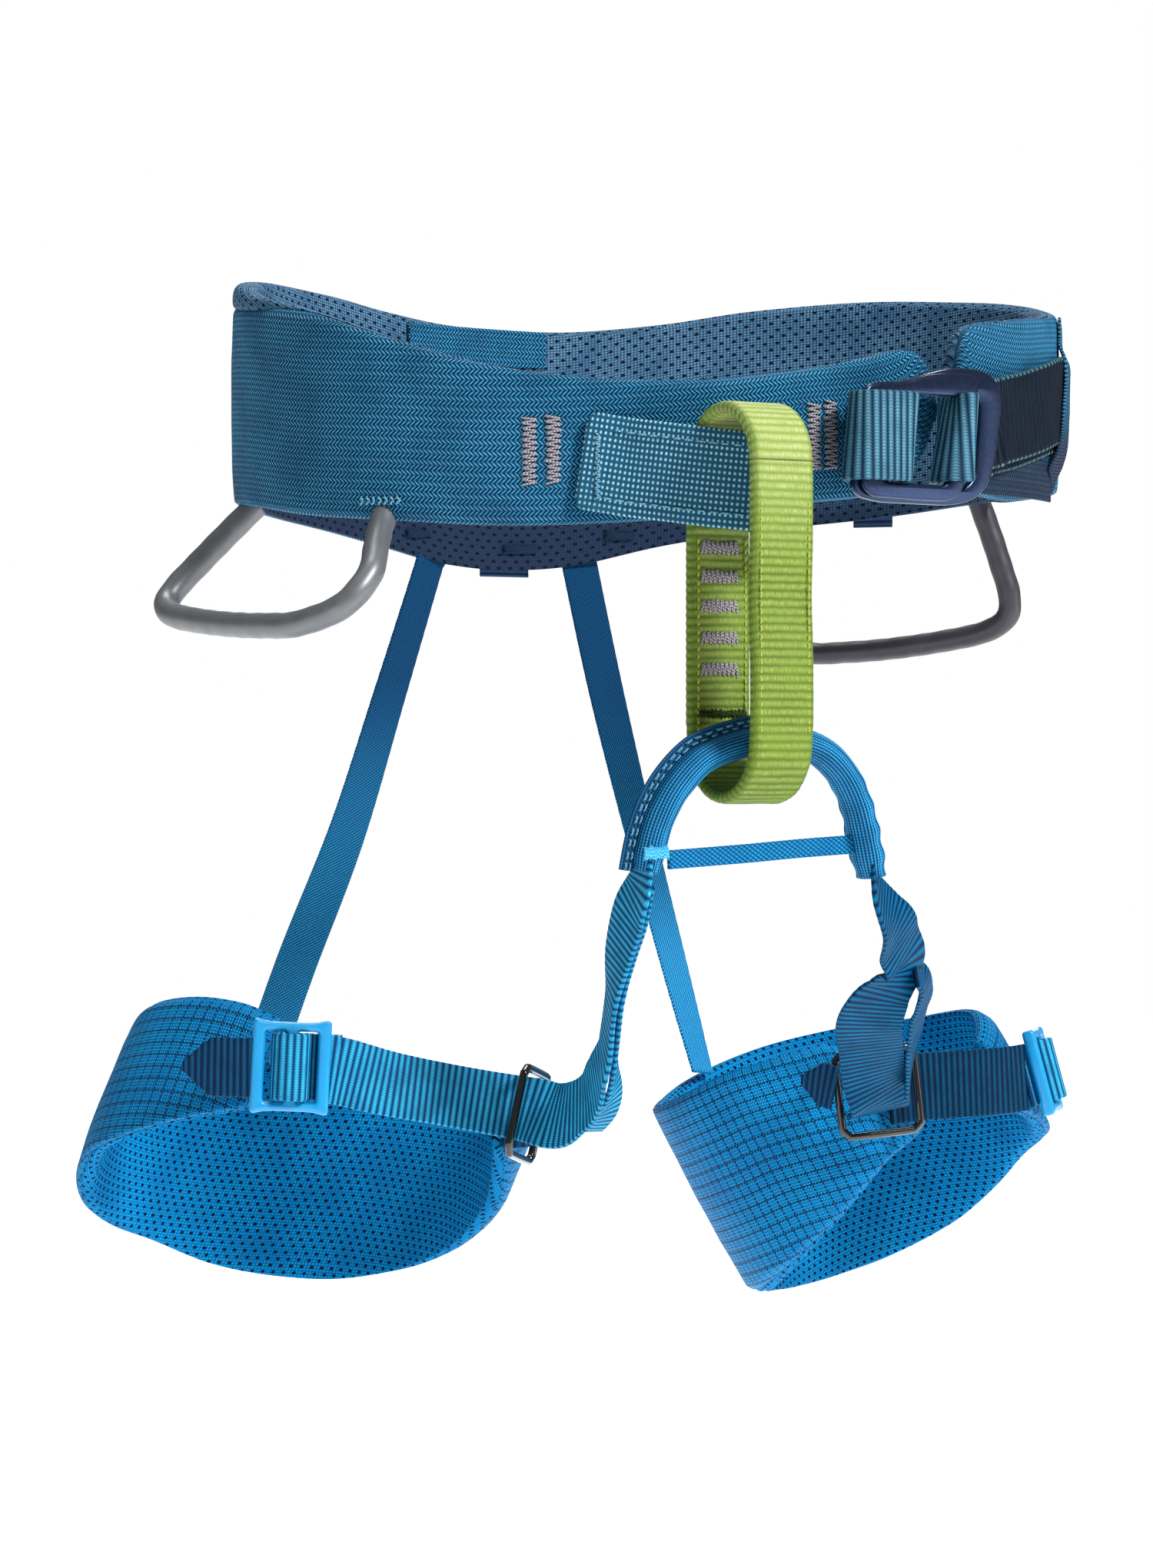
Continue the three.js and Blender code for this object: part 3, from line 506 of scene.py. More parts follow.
MATERIALS = {
    "belt": twill_cloth("belt_twill", "00203c", "46b4e8", "002c4e"),
    "mesh": mesh_cloth("belt_mesh", "1f4665", "7c9fba", "04101f", 2.1, 4.1, 0.42, 0.72, shade="1c2a40"),
    "sheath": sheath_cloth(),
    "waist_webbing": webbing("waist_webbing", "08263a", "5c92aa", WAIST_RIB, width=25, fine=0.9),
    "dark_webbing": webbing("waist_webbing_dark", "01040a", "1a2a3c", DARK_RIB, edge="4a7480", width=25,
                            fine=0.6),
    "belay": grosgrain(),
    "arch": lengthwise("arch_sleeve", "00284e", "36aeee", 1.45, 0.8),
    "arch_dark": lengthwise("arch_flange", "062c4c", "1f6a9e", 0.9, 0.9),
    "cross": diagonal("cross_twill", "003e6c", "2698cc", 1.3),
    "bridge": webbing("leg_webbing", "003058", "3abcf0", LEG_RIB, width=19, fine=0.7),
    # Darker copies of the leg webbing: painted shade for the webbing on the wearer's left, which faces away from the
    # lights.
    "strap_shade": webbing("leg_strap_far", "00142a", "00486e", LEG_RIB, width=20, fine=0.7),
    "bridge_shade": webbing("leg_webbing_far", "001c36", "006ca0", LEG_RIB, width=19, fine=0.7),
    "pad": ripstop(),
    "pad_mesh": mesh_cloth("pad_mesh", "005e98", "06a8e6", "00142c", 1.9, 3.3, 0.45, 0.58),
    "riser": riser_knit(),
    "gear": moulded("gear_tube", "6d7073", "56595d", 0.42, grain=0.25, metallic=0.45),
    # A darker copy of the gear loop grey: painted shade for the loop on the wearer's left.
    "gear_dark": moulded("gear_tube_dark", "35343b", "46454b", 0.42, grain=0.25, metallic=0.3),
    "alu": moulded("buckle_anodised", "273450", "212d46", 0.26, metallic=0.85),
    "plastic": moulded("buckle_plastic", "0088c2", "0096d0", 0.36, coat=0.1),
    "wire": moulded("ring_wire", "0e0f11", "1c1d20", 0.16, coat=0.7, metallic=0.3),
    "grey_thread": thread("bartack_thread", "3e343e", "c8c0c8"),
    "navy_thread": thread("bartack_navy", "06101f", "1f3750"),
    "green_thread": thread("tracer_thread", "7a8c28", "c4d068"),
    "blue_thread": thread("seam_thread", "1e5f86", "88c2d8"),
    "cyan_thread": thread("bartack_cyan", "0078bc", "6ad2f6"),
    "dark_green": thread("bartack_dark_green", "141c0c", "3f5222"),
    # Navy webbing for the anchors, darkened further as painted shade for the shadowed notch between the pad and the
    # ring.
    "navy_webbing": webbing("anchor_webbing_navy", "031a33", "12507c", LEG_RIB, width=19, fine=0.7),
    "keeper_cloth": twill_cloth("keeper_twill", "00253f", "3c92bc", "0a1a30", low="1d3550"),
    "navy_cloth": twill_cloth("navy_twill", "0a1526", "35506c", "101e33"),
    "mesh_tab": webbing("tab_webbing", "14233a", "37557d", 1.6, width=17, fine=0.5),
}


# ---- pieces and how they move

def piece(obj, body, slot, *nodes):
    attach(obj, body)
    if nodes:
        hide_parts(*nodes)
    return obj


def wobble(point, size, amount):
    """Slow unevenness of cloth at a point in mm."""
    return amount * noise.noise(Vector(point) / size)


# ---- waist belt

BELT = {"centre_x": 13.5, "a": 124.5, "b": 91}
BELT_FACE = 3.9
BELT_EDGE = [
    (-68.5, 12, 2), (-70.5, 21, -7), (-74, 23, -15), (-80, 20, -19.5), (-90, 15.5, -22.2), (-102, 12.2, -26),
    (-116, 12, -28.4), (-131, 15.5, -29), (-147, 24, -27.1), (-162, 32.5, -25), (-180, 39.5, -21), (-197, 46, -19),
    (-214, 49.6, -19.8), (-232, 49.4, -22.5), (-245, 46.5, -26.5), (-256, 44, -31), (-266, 43.4, -32.2),
    (-277, 43.8, -30.4), (-291, 47, -23.8), (-306, 51.6, -19), (-325, 53.6, -15.8), (-345, 51.5, -12.6),
    (-360, 48.6, -11.8), (-378, 43.5, -12.6), (-395, 38.8, -15), (-410, 35.2, -18), (-420, 32, -16.8),
    (-422.6, 27, -14), (-424, 16, -8),
]


def belt_point(degrees, offset, z):
    angle = math.radians(degrees)
    outward = Vector((BELT["b"] * math.cos(angle), BELT["a"] * math.sin(angle), 0)).normalized()
    point = Vector((BELT["centre_x"] + BELT["a"] * math.cos(angle), BELT["b"] * math.sin(angle), z))
    return point + outward * offset


def belt_rows(per_span=7):
    """(angle, top, bottom, distance along the belt) round the waist."""
    rows, distance, before = [], 0.0, None
    for degrees, top, bottom in spline(BELT_EDGE, per_span):
        here = belt_point(degrees, 0, 0)
        distance += (here - before).length if before else 0
        before = here
        rows.append((degrees, top, bottom, distance))
    return rows


def step01(value, low, high):
    t = min(max((value - low) / (high - low), 0), 1)
    return t * t * (3 - 2 * t)


def mesh_roll(degrees):
    """How far the inner mesh comes over the top edge and down the front, in mm."""
    at_side = step01(degrees, -262, -235) * (1 - step01(degrees, -200, -158))
    at_flap = step01(degrees, -424, -416) * (1 - step01(degrees, -380, -350))
    return 0.4 + 6.0 * at_side + 0.2 * at_flap


def profile(points, per_span=4):
    return [(n, z) for n, z in spline(points, per_span)]


def belt_out(degrees):
    return (belt_point(degrees, 10, 0) - belt_point(degrees, 0, 0)).normalized()


def slim(top, bottom):
    """1 where a padded band is tall, less where it is too low for its full section."""
    return min(1.0, (top - bottom) / 14)


def belt_layer(name, material, shape, ripple):
    """A layer round the waist: shape(degrees, top, bottom) gives (offset, z) points, ripple is added to them."""
    rings, coordinates = [], []
    for degrees, top, bottom, distance in belt_rows():
        ring, row, across, last = [], [], 0.0, None
        for n, z in profile(shape(degrees, top, bottom)):
            across += math.dist((n, z), last) if last else 0
            last = (n, z)
            ring.append(belt_point(degrees, n + ripple(degrees, n, belt_point(degrees, 0, z)), z))
            row.append((across, distance))
        rings.append(ring)
        coordinates.append(row)
    return grid_mesh(name, rings, coordinates, MATERIALS[material])


def belt_fabric():
    """The outer cloth of the belt: full in the middle, drawn in along its edges."""
    def shape(degrees, top, bottom):
        high, tall, inset = top - mesh_roll(degrees), top - bottom, slim(top, bottom)
        full = 3.9 + 0.5 * inset
        return [(-0.6, bottom + 1.5), (1.0, bottom + 0.3), (2.9, bottom + 0.9), (3.75, bottom + 3.0 * inset + 0.5),
                (full, bottom + tall * 0.3), (full, bottom + tall * 0.6), (3.85, high - 4.5 * inset - 0.2),
                (3.5, high - 1.6 * inset), (2.2, high + 0.1), (0.6, high - 0.3), (-0.6, high - 1.6)]

    def ripple(_, n, spot):
        return wobble(spot, 16, 0.28) + wobble(spot, 7, 0.1) if 1.5 < n else 0
    belt = belt_layer("belt_fabric", "belt", shape, ripple)
    piece(belt, "waist", "belt_shell", "belt_outer_shell", "belt_foam_core")


def belt_lining():
    """The inner mesh, which rolls over the top edge."""
    def shape(degrees, top, bottom):
        roll, inset = mesh_roll(degrees), slim(top, bottom)
        out = min(3.9, 0.2 + roll)
        return [(0.2, bottom + 1.2), (-0.8, bottom + 0.1), (-2.6, bottom + 0.7), (-3.7, bottom + 3 * inset),
                (-3.95 - 0.5 * inset, (top + bottom) / 2), (-3.8, top - 4.5 * inset), (-3.2, top - 1.6 * inset),
                (-1.4, top - 0.1), (out * 0.55, top - 0.1 + 0.1 * inset), (out * 0.97, top - 0.35 * roll),
                (out * 0.92, top - roll - 0.2), (out * 0.2, top - roll - 0.8)]

    def ripple(degrees, n, spot):
        turned = n > 1 and mesh_roll(degrees) > 2
        size = wobble(spot, 14, 0.25) if n < -1.5 else wobble(spot, 9, 0.2) if turned else 0
        return -size * step01(degrees, -420, -400)
    lining = belt_layer("belt_lining", "mesh", shape, ripple)
    piece(lining, "waist", "belt_mesh", "belt_inner_liner")


# ---- sewing

def join(name, objects):
    """Several small meshes as one piece."""
    for other in bpy.context.selected_objects:
        other.select_set(False)
    for obj in objects:
        obj.select_set(True)
    bpy.context.view_layer.objects.active = objects[0]
    if len(objects) > 1:
        bpy.ops.object.join()
    objects[0].name = name
    objects[0].select_set(False)
    return objects[0]


def bartack(name, corner, along, across, out, size, turns, material, radius=0.42):
    """A dense zigzag of thread over a rectangle: size is (along, across) in mm; along is where it advances."""
    along, across, out = Vector(along).normalized(), Vector(across).normalized(), Vector(out).normalized()
    length, width = size
    rows = []
    for i in range(turns * 2 + 1):
        advance = along * (length * i / (turns * 2))
        swing = across * (width if i % 2 else 0)
        here = Vector(corner) + advance + swing
        here += across * wobble(here, 0.9, 0.5) + along * wobble(here, 1.3, 0.25)
        rows.append([*(here + out * 0.1), *out])
        if i < turns * 2:
            there = Vector(corner) + along * (length * (i + 0.5) / (turns * 2)) + across * (width / 2)
            rows.append([*(there + out * radius * 1.4), *out])
    return tube(name, rows, radius, material, sides=6, step=0.6)


def stitches(name, rows, material, length=2.0, gap=1.1, radius=0.28, lift=0.15):
    """A line of separate stitches along rows of [x y z outX outY outZ]."""
    path = resample(rows, 0.5)
    total = path[-1][0]
    made, start, index = [], 0.0, 0

    def at(distance):
        k = min(int(distance / total * (len(path) - 1)), len(path) - 1)
        return path[k][1]
    while start + length < total:
        points = []
        for share, height in ((0, -0.25), (0.2, 0.7), (0.8, 0.7), (1, -0.25)):
            row = at(start + length * share)
            out = Vector(row[3:6]).normalized()
            points.append([*(Vector(row[:3]) + out * (lift + height * radius)), *out])
        made.append(tube(f"{name}_{index}", points, radius, material, sides=5, step=0.8))
        start += length + gap
        index += 1
    return join(name, made)


# ---- tie-in sheath

SHEATH_PATH = [
    [-49.5, -84.6, -11], [-43.5, -88, -12.1], [-38, -91.5, -13.2], [-31, -98, -14.5], [-22, -106.5, -16.2],
    [-12, -112, -17.4], [-3, -113.4, -17.7], [4, -110.6, -17], [8.5, -105.5, -15.8], [10.5, -99.5, -14.8],
]


def lifted(rows, off, across=0.0):
    """Rows of [x y z side] moved off the strap's face and across it, as [x y z out] for stitches."""
    out = []
    for _, point, side, face in frames_along(list(enumerate(rows))):
        place = point + side * across + face * off
        normal = face if off >= 0 else -face
        out.append([*place, *normal])
    return out


def sheath():
    rows = [[*place, -0.05, 0, 1] for place in SHEATH_PATH]

    def hem(distance, _):
        return 0.12 * math.sin(distance * 0.5) + (0.45 if distance < 7 else 0)

    width, corner = 27, 3.0

    def rounded(distance):
        return width - 2 * (corner - math.sqrt(corner ** 2 - max(0.0, corner - distance) ** 2))
    cloth = MATERIALS["sheath"]
    band = ribbon("tie_in_sheath_cloth", rows, width, 2.0, cloth, step=1.0, relief=hem, widen=rounded)
    piece(band, "waist", "sheath", "tie_in_sheath")
    inner = [row for _, row in resample(rows, 2.0)]
    seams = []
    outside = 1.35 if frames_along([(0, inner[8]), (1, inner[9])])[0][3].y < 0 else -1.35
    for across in (9.4, -9.4):
        line = lifted(inner[4:-3], outside, across)
        seams.append(stitches("sheath_seam", line, MATERIALS["blue_thread"], 2.2, 1.2))
    column = [Vector(row[:3]) for row in lifted(inner, outside * 1.15)]
    normal = [Vector(row[3:6]) for row in lifted(inner, outside)]
    seams.append(bartack("sheath_tack", column[2] - Vector((0, 0, 10)), (0, 0, 1), column[3] - column[2],
                         normal[2], (18, 1.4), 13, MATERIALS["blue_thread"], 0.3))
    piece(join("sheath_stitching", seams), "waist", "sheath")


# ---- belay loop

LOOP = {"middle": Vector((-12.3, -113, 0)), "forward": Vector((0.087, -0.996, 0)),
        "across": Vector((0.996, 0.087, 0)), "half": 16, "top": 2.2, "bottom": -103.6, "bend": 15}


def loop_place(reach, z):
    return [*(LOOP["middle"] + LOOP["forward"] * reach + Vector((0, 0, z))), *LOOP["across"]]


def belay_loop():
    def arc(middle, start):
        turns = [math.radians(start + turn) for turn in range(0, 181, 30)]
        return [loop_place(LOOP["half"] * math.cos(t), middle + LOOP["bend"] * math.sin(t)) for t in turns]
    top, bottom = LOOP["top"] - LOOP["bend"], LOOP["bottom"] + LOOP["bend"]
    front = [loop_place(-LOOP["half"] + 0.2 * k, z) for k, z in ((-1, -34), (1, -52), (0, -70))]
    back = [loop_place(LOOP["half"] + 0.4 * k, z) for k, z in ((1, -70), (-1, -50), (0.5, -31))]
    rows = arc(top, 0) + front + arc(bottom, 180) + back

    def relief(distance, across):
        return ribs(BELAY_RIB, 0.12)(distance, across) + wobble((distance, across, 3), 5, 0.16)
    loop = ribbon("belay_loop_webbing", rows, 19.6, 3.4, MATERIALS["belay"], 0.45, relief, 10, closed=True)
    piece(loop, "belay_loop", "belay_loop", "belay_loop")
    behind = LOOP["half"] + 2.5
    ply = [loop_place(-behind, z) for z in (-31, -50, -66, -84)]
    patch = ribbon("belay_loop_end", ply, 17.4, 0.9, MATERIALS["belay"], 0.45, ribs(BELAY_RIB, 0.25), 8)
    piece(patch, "belay_loop", "belay_loop", "belay_loop_overlap")
    across, forward = LOOP["across"], LOOP["forward"]
    tacks = []
    for k, z in enumerate((-35, -43, -51.2, -59.8, -68.4)):
        corner = Vector(loop_place(-LOOP["half"] + 1.75, z - 1.9)[:3]) - across * 6.6
        tacks.append(bartack("loop_tack", corner, across, (0, 0, 1), forward, (11.6, 3.9), 8,
                             MATERIALS["grey_thread"], 0.33))
    piece(join("belay_loop_bartacks", tacks), "belay_loop", "belay_loop")
    corner = Vector(loop_place(-LOOP["half"] + 1.75, -81.6)[:3]) - across * 7.6
    dark = bartack("belay_loop_lower_tack", corner, across, (0, 0, 1), forward, (15.4, 1.9), 12,
                   MATERIALS["dark_green"], 0.4)
    piece(dark, "belay_loop", "belay_loop")
    lines = []
    for reach, side, low, high in ((LOOP["half"] + 1.75, 1, -86, -16), (-LOOP["half"] + 1.75, 1, -88, -24)):
        for offset in (-7.6, 7.6):
            rows = [[*(Vector(loop_place(reach, z)[:3]) + across * offset), *(forward * side)]
                    for z in range(low, high, 8)]
            lines.append(stitches("loop_tracer", rows, MATERIALS["green_thread"], 1.5, 0.75, 0.3, 0.1))
    piece(join("belay_loop_tracers", lines), "belay_loop", "belay_loop")


# ---- leg arch and its cross strap

ARCH_PATH = [
    [-42.5, -110, -123.5], [-40.5, -111.5, -112.5], [-35.5, -112.5, -102], [-27, -113, -93.5],
    [-16, -113, -89.4], [-4, -113, -87.8], [7.5, -113, -90], [15.5, -112.8, -96],
    [20.5, -112.6, -104.5], [23.5, -112.3, -114.5], [26, -112, -125.5],
]


def leg_arch():
    rows = [[*place, 0.05, 1, 0] for place in ARCH_PATH]
    length = resample(rows, 1)[-1][0]

    def relief(distance, angle):
        cords = 0.16 * math.cos(angle * 22)
        creased = step01(distance, length * 0.62, length * 0.9)
        pucker = 0.5 * creased * math.sin(distance * 0.9) * max(0, math.cos(angle * 2 + 1.2))
        ends = -1.1 * (1 - step01(distance, 0, 5)) - 1.1 * step01(distance, length - 5, length)
        return cords + pucker + ends - 0.25 + wobble((distance, angle * 3, 0), 6, 0.35)
    sleeve = tube("arch_sleeve", rows, 6.9, MATERIALS["arch"], 66, 0.9, 0.6, relief)
    piece(sleeve, "legs", "arch", "arch_sheath", "arch_core_webbing")
    flange, outer_line, inner_line = [], [], []
    for _, point, _, _ in frames_along(resample(rows, 3)):
        outward = (point - Vector((-7, point.y, -125))).normalized()
        if point.x > -2:
            break
        wide = 1.0 if point.z < -92 else 0.7
        flange.append([*(point + outward * (4.2 + 1.2 * wide) + Vector((0, 0.6, 0))), *outward])
        for line, reach in ((outer_line, 6.2), (inner_line, 4.9)):
            line.append([*(point + outward * reach * (0.7 + 0.3 * wide) + Vector((0, -0.35, 0))), 0, -1, 0])
    piece(ribbon("arch_flange", flange, 4.2, 1.4, MATERIALS["arch_dark"], 1.0), "legs", "arch")
    seams = [stitches("arch_seam", line, MATERIALS["blue_thread"], 2.0, 1.3, 0.3, 0.2)
             for line in (outer_line, inner_line)]
    piece(join("arch_stitching", seams), "legs", "arch")
    corner = Vector(ARCH_PATH[0]) + Vector((-3.6, -7.3, 3.2))
    tack = bartack("arch_tack", corner, (1, 0, 0.05), (0, 0.1, 1), (0, -1, 0), (7, 3.4), 10,
                   MATERIALS["cyan_thread"], 0.4)
    piece(tack, "legs", "arch")


def cross_strap():
    rows = [[*place, -0.05, 0, 1] for place in
            ([-36.5, -112, -120.5], [-14, -112.6, -119], [4, -112.8, -117.6], [20.5, -112.4, -116.6])]

    def edge(distance, across):
        return 0.12 * math.sin(distance * 1.1) + (0.15 if abs(across) > 1.8 else 0)
    strap = ribbon("cross_strap_webbing", rows, 5.2, 1.1, MATERIALS["cross"], 0.8, edge, 6)
    piece(strap, "legs", "arch", "cross_strap")


# ---- leg webbing

BRIDGE_RIGHT = [
    [-42.6, -111, -117, 0.05, 1, 0], [-44, -109.6, -127.5, 0.1, 0.99, 0], [-45, -105, -136, 0, 0.99, 0.05],
    [-45.8, -100, -147, 0.1, 0.98, 0.05], [-46, -96.4, -159, 0.3, 0.95, 0], [-45.6, -92, -172.4, 0.28, 0.96, 0],
    [-45.3, -88, -178.2, 0.24, 0.97, 0.1], [-44.8, -83, -183.2, 0.17, 0.96, 0.2],
    [-44.5, -76, -188.1, 0.18, 0.87, 0.46], [-45.9, -69, -191.7, 0.16, 0.58, 0.8],
    [-47.6, -62, -192.7, 0.19, 0.41, 0.89], [-50.6, -56.4, -191.7, 0.17, 0.36, 0.92],
]
STRAP_RIGHT = [
    [-54, -53.4, -190.9, 0.15, 0.38, 0.91], [-62, -49.6, -189.4, 0.15, 0.4, 0.9],
    [-74, -45.4, -187, 0.15, 0.4, 0.9], [-89, -41.8, -183.8, 0.17, 0.3, 0.93],
    [-101.4, -38.6, -180.4, 0.12, 0.1, 0.98], [-107, -37.4, -179.4, 0.08, 0.05, 1],
]
PLY_RIGHT = [
    [-41.6, -108.6, -125, 0.1, 0.99, 0], [-42, -103, -136, 0, 0.99, 0.05], [-42.8, -98, -147, 0.1, 0.98, 0.05],
    [-42.8, -94, -159, 0.3, 0.95, 0], [-41, -88.6, -171, 0.4, 0.91, 0], [-39.4, -84, -178, 0.45, 0.89, 0],
    [-37.6, -77.6, -185.6, 0.5, 0.85, -0.15], [-37.2, -69.6, -192, 0.55, 0.78, -0.3],
    [-38.6, -61.4, -197, 0.5, 0.77, -0.4],
]
BRIDGE_LEFT = [
    [24.8, -112, -119, 0.15, 0.98, 0], [27.7, -112.5, -129.5, 0.62, 0.78, 0], [34.4, -108.6, -138, 0.76, 0.65, 0],
    [40, -103, -144.4, 0.84, 0.54, 0], [44.4, -98, -150.2, 0.82, 0.58, 0],
    [43.4, -93.4, -156, 0.97, 0.24, 0], [41.4, -88, -162, 0.99, -0.15, 0],
    [43, -80, -169, 0.91, -0.42, 0], [49.2, -70.3, -176.4, 0.95, -0.3, 0],
    [55.6, -60.4, -185.3, 0.95, 0, 0], [61, -53.4, -193, 0.93, 0.3, 0],
    [64.6, -46, -196, 0.95, 0.25, 0],
]
PLY_LEFT = [
    [49.5, -94.8, -152, 0.64, 0.77, 0], [54.4, -90.6, -156.4, 0.64, 0.77, 0], [57.8, -85, -161.4, 0.64, 0.77, 0],
    [60, -78.4, -167, 0.64, 0.77, 0], [63.4, -70, -174.5, 0.6, 0.8, 0], [66.4, -62.4, -181.4, 0.5, 0.86, 0],
    [68.4, -57, -187.4, 0.45, 0.9, 0],
]
STRAP_LEFT = [
    [72, -39.8, -190.8, 0, 0, 1], [79, -39.4, -190.2, 0, 0, 1], [86, -40.6, -189.6, 0, 0, 1],
    [100, -42.6, -189, 0, 0, 1], [110, -42.2, -188.6, 0, 0, 1], [117.8, -40.8, -188, -0.1, 0, 1],
]


def leg_webbing():
    def sleeved(distance):
        """Narrower where the webbing sits inside the end of the arch's sleeve."""
        return 12 + 7 * min(1.0, max(0.0, (distance - 4) / 7))
    # The webbing on the wearer's left uses the darker copies of the leg webbing, which are painted shade.
    for name, rows, width, cloth, widen, *nodes in (
            ("leg_webbing_right", BRIDGE_RIGHT + STRAP_RIGHT, 19, "bridge", sleeved, "bridge_webbing_right",
             "leg_strap_right"),
            ("ply_right", PLY_RIGHT, 15, "bridge", None, "bridge_ply_right"),
            ("leg_webbing_left", BRIDGE_LEFT, 19, "bridge_shade", sleeved, "bridge_webbing_left"),
            ("ply_left", PLY_LEFT, 13, "bridge_shade", None, "bridge_ply_left"),
            ("leg_strap_webbing_left", STRAP_LEFT, 20, "strap_shade", None, "leg_strap_left")):
        band = ribbon(name, rows, width, THICK, MATERIALS[cloth], 0.65, ribs(LEG_RIB, 0.1), 8, widen=widen)
        piece(band, "legs", "leg_webbing", *nodes)


# ---- hard parts

CORNER_STEPS = 5


def plate(name, outline, windows, thick, bevel, material):
    """A flat plate with windows and round edges in its own XY plane; every outline is [x, y, corner radius]."""
    def rounded(corners):
        points = []
        count = len(corners)
        for i, (x, y, r) in enumerate(corners):
            here = Vector((x, y))
            before, after = (Vector(corners[k][:2]) - here for k in (i - 1, (i + 1) % count))
            r = min(r, 0.47 * before.length, 0.47 * after.length)
            before, after = before.normalized() * r, after.normalized() * r
            for k in range(CORNER_STEPS + 1):
                t = k / CORNER_STEPS
                points.append(here + before * (1 - t) ** 2 + after * t ** 2)
        return points
    curve = bpy.data.curves.new(name, "CURVE")
    curve.dimensions = "2D"
    curve.fill_mode = "BOTH"
    curve.extrude = (thick / 2 - bevel) * MM
    curve.bevel_depth = bevel * MM
    curve.offset = -bevel * MM
    curve.bevel_resolution = 3
    for corners in (outline, *windows):
        points = rounded(corners)
        line = curve.splines.new("POLY")
        line.points.add(len(points) - 1)
        for target, (x, y) in zip(line.points, points):
            target.co = (x * MM, y * MM, 0, 1)
        line.use_cyclic_u = True
    maker = bpy.data.objects.new(name + "_maker", curve)
    mesh = bpy.data.meshes.new_from_object(maker)
    bpy.data.objects.remove(maker)
    mesh.name = name
    work = bmesh.new()
    work.from_mesh(mesh)
    bmesh.ops.remove_doubles(work, verts=work.verts, dist=1e-6)
    bmesh.ops.recalc_face_normals(work, faces=work.faces)
    work.to_mesh(mesh)
    work.free()
    layer = mesh.attributes.new("st", "FLOAT_VECTOR", "POINT")
    layer.data.foreach_set("vector", [c / MM for v in mesh.vertices for c in v.co])
    mesh.materials.clear()
    mesh.materials.append(material)
    mesh.shade_smooth()
    mesh.set_sharp_from_angle(angle=math.radians(35))
    obj = bpy.data.objects.new(name, mesh)
    bpy.context.scene.collection.objects.link(obj)
    return obj


def stand(obj, centre, along, up):
    """Turns an object's own X to along and Y to up, and puts its origin at the centre, in mm."""
    x = Vector(along).normalized()
    z = x.cross(Vector(up)).normalized()
    turn = Matrix((x, z.cross(x), z)).transposed().to_4x4()
    obj.matrix_world = Matrix.Translation(Vector(centre) * MM) @ turn
    bpy.context.view_layer.update()
    return obj


ALONG = Vector((0.98, 0.2, 0)).normalized()
OUT = Vector((ALONG.y, -ALONG.x, 0))
BUCKLE_CENTRE = Vector((51, -101, 0))


def beside(s, n, z, lean=0.0):
    return [*(BUCKLE_CENTRE + ALONG * s + OUT * n + Vector((0, 0, z))), *(ALONG * lean + Vector((0, 0, 1)))]


def waist_buckle():
    outer = ([-28.5, -18.5, 2], [-25.5, -20.6, 3], [-19, -21.6, 4], [7, -21.6, 4], [15.7, -19.8, 4],
             [21.2, -15.2, 4], [24.2, -6, 6], [26.3, 9, 4], [25.6, 12.6, 3], [22.6, 15.9, 3], [17, 17.4, 3],
             [8, 17.4, 4], [-8.5, 13.4, 5], [-24, 9.6, 4], [-28.5, 6, 3])
    outer_window = ([-21.5, -16.4, 3], [12, -16.6, 4], [15.8, -13, 4], [17.4, 2, 6], [17.8, 9.6, 3], [8, 11, 4],
                    [-8, 8.4, 5], [-21.5, 5.5, 3])
    inner = ([-27.5, -18, 2], [-24, -20.4, 4], [-4, -20.8, 4], [4.5, -20.6, 3], [9, -17.4, 3], [13.6, 0, 6],
             [14.8, 12.6, 2], [12.4, 15.4, 2], [5, 15.6, 4], [-3, 14.6, 4], [-9, 13.2, 3], [-13, 12.1, 3],
             [-22, 11.6, 4], [-26, 10.6, 2], [-27.8, 8, 2])
    inner_window = ([-21.5, -16, 3], [2.5, -16.4, 3], [5.5, -12, 3], [8.2, 2, 4], [9, 8.8, 2], [-11, 8.8, 2],
                    [-14, 7.6, 2], [-21.5, 7.4, 2])
    for name, form, window, thick, out in (("outer", outer, outer_window, 3.0, 0),
                                           ("inner", inner, inner_window, 2.4, 3.1)):
        shape = plate(f"buckle_{name}", form, [window], thick, 0.9, MATERIALS["alu"])
        stand(shape, BUCKLE_CENTRE + OUT * out, ALONG, (0, 0, 1))
        piece(shape, "waist_buckle", "aluminium", f"buckle_{name}_frame")


HARDWARE = {
    "right": {"buckle": ([-116.6, -37.2, -178.6], [0.96, -0.28, -0.05], [0.05, 0, 1]),
              "ring": ([-50, -50.2, -193.2], [0.64, 0.75, -0.2], [0.3, 0.1, 0.95]), "toward": 1},
    "left": {"buckle": ([130, -31, -187], [0.62, 0.78, 0], [-0.25, 0.1, 0.96]),
             "ring": ([66.4, -43, -190.6], [0.95, -0.22, 0.1], [-0.26, 0.12, 0.96]), "toward": -1},
}


def leg_buckle(leg):
    centre, along, up = HARDWARE[leg]["buckle"]
    half, tall, bar = 11, 13.5, 3.6
    flare = [[-half, -tall, 1.8], [-half + 4.5, -tall + 1.1, 2], [half - 4.5, -tall + 1.1, 2], [half, -tall, 1.8],
             [half, tall, 1.8], [half - 4.5, tall - 1.1, 2], [-half + 4.5, tall - 1.1, 2], [-half, tall, 1.8]]
    windows = [[[a, -9.9, 0.9], [b, -9.9, 0.9], [b, 9.9, 0.9], [a, 9.9, 0.9]]
               for a, b in ((-half + bar, -bar / 2), (bar / 2, half - bar))]
    ladder = stand(plate(f"leg_ladder_{leg}", flare, windows, 3.8, 1.2, MATERIALS["plastic"]), centre, along, up)
    piece(ladder, f"leg_buckle_{leg}", "plastic", f"leg_buckle_{leg}")


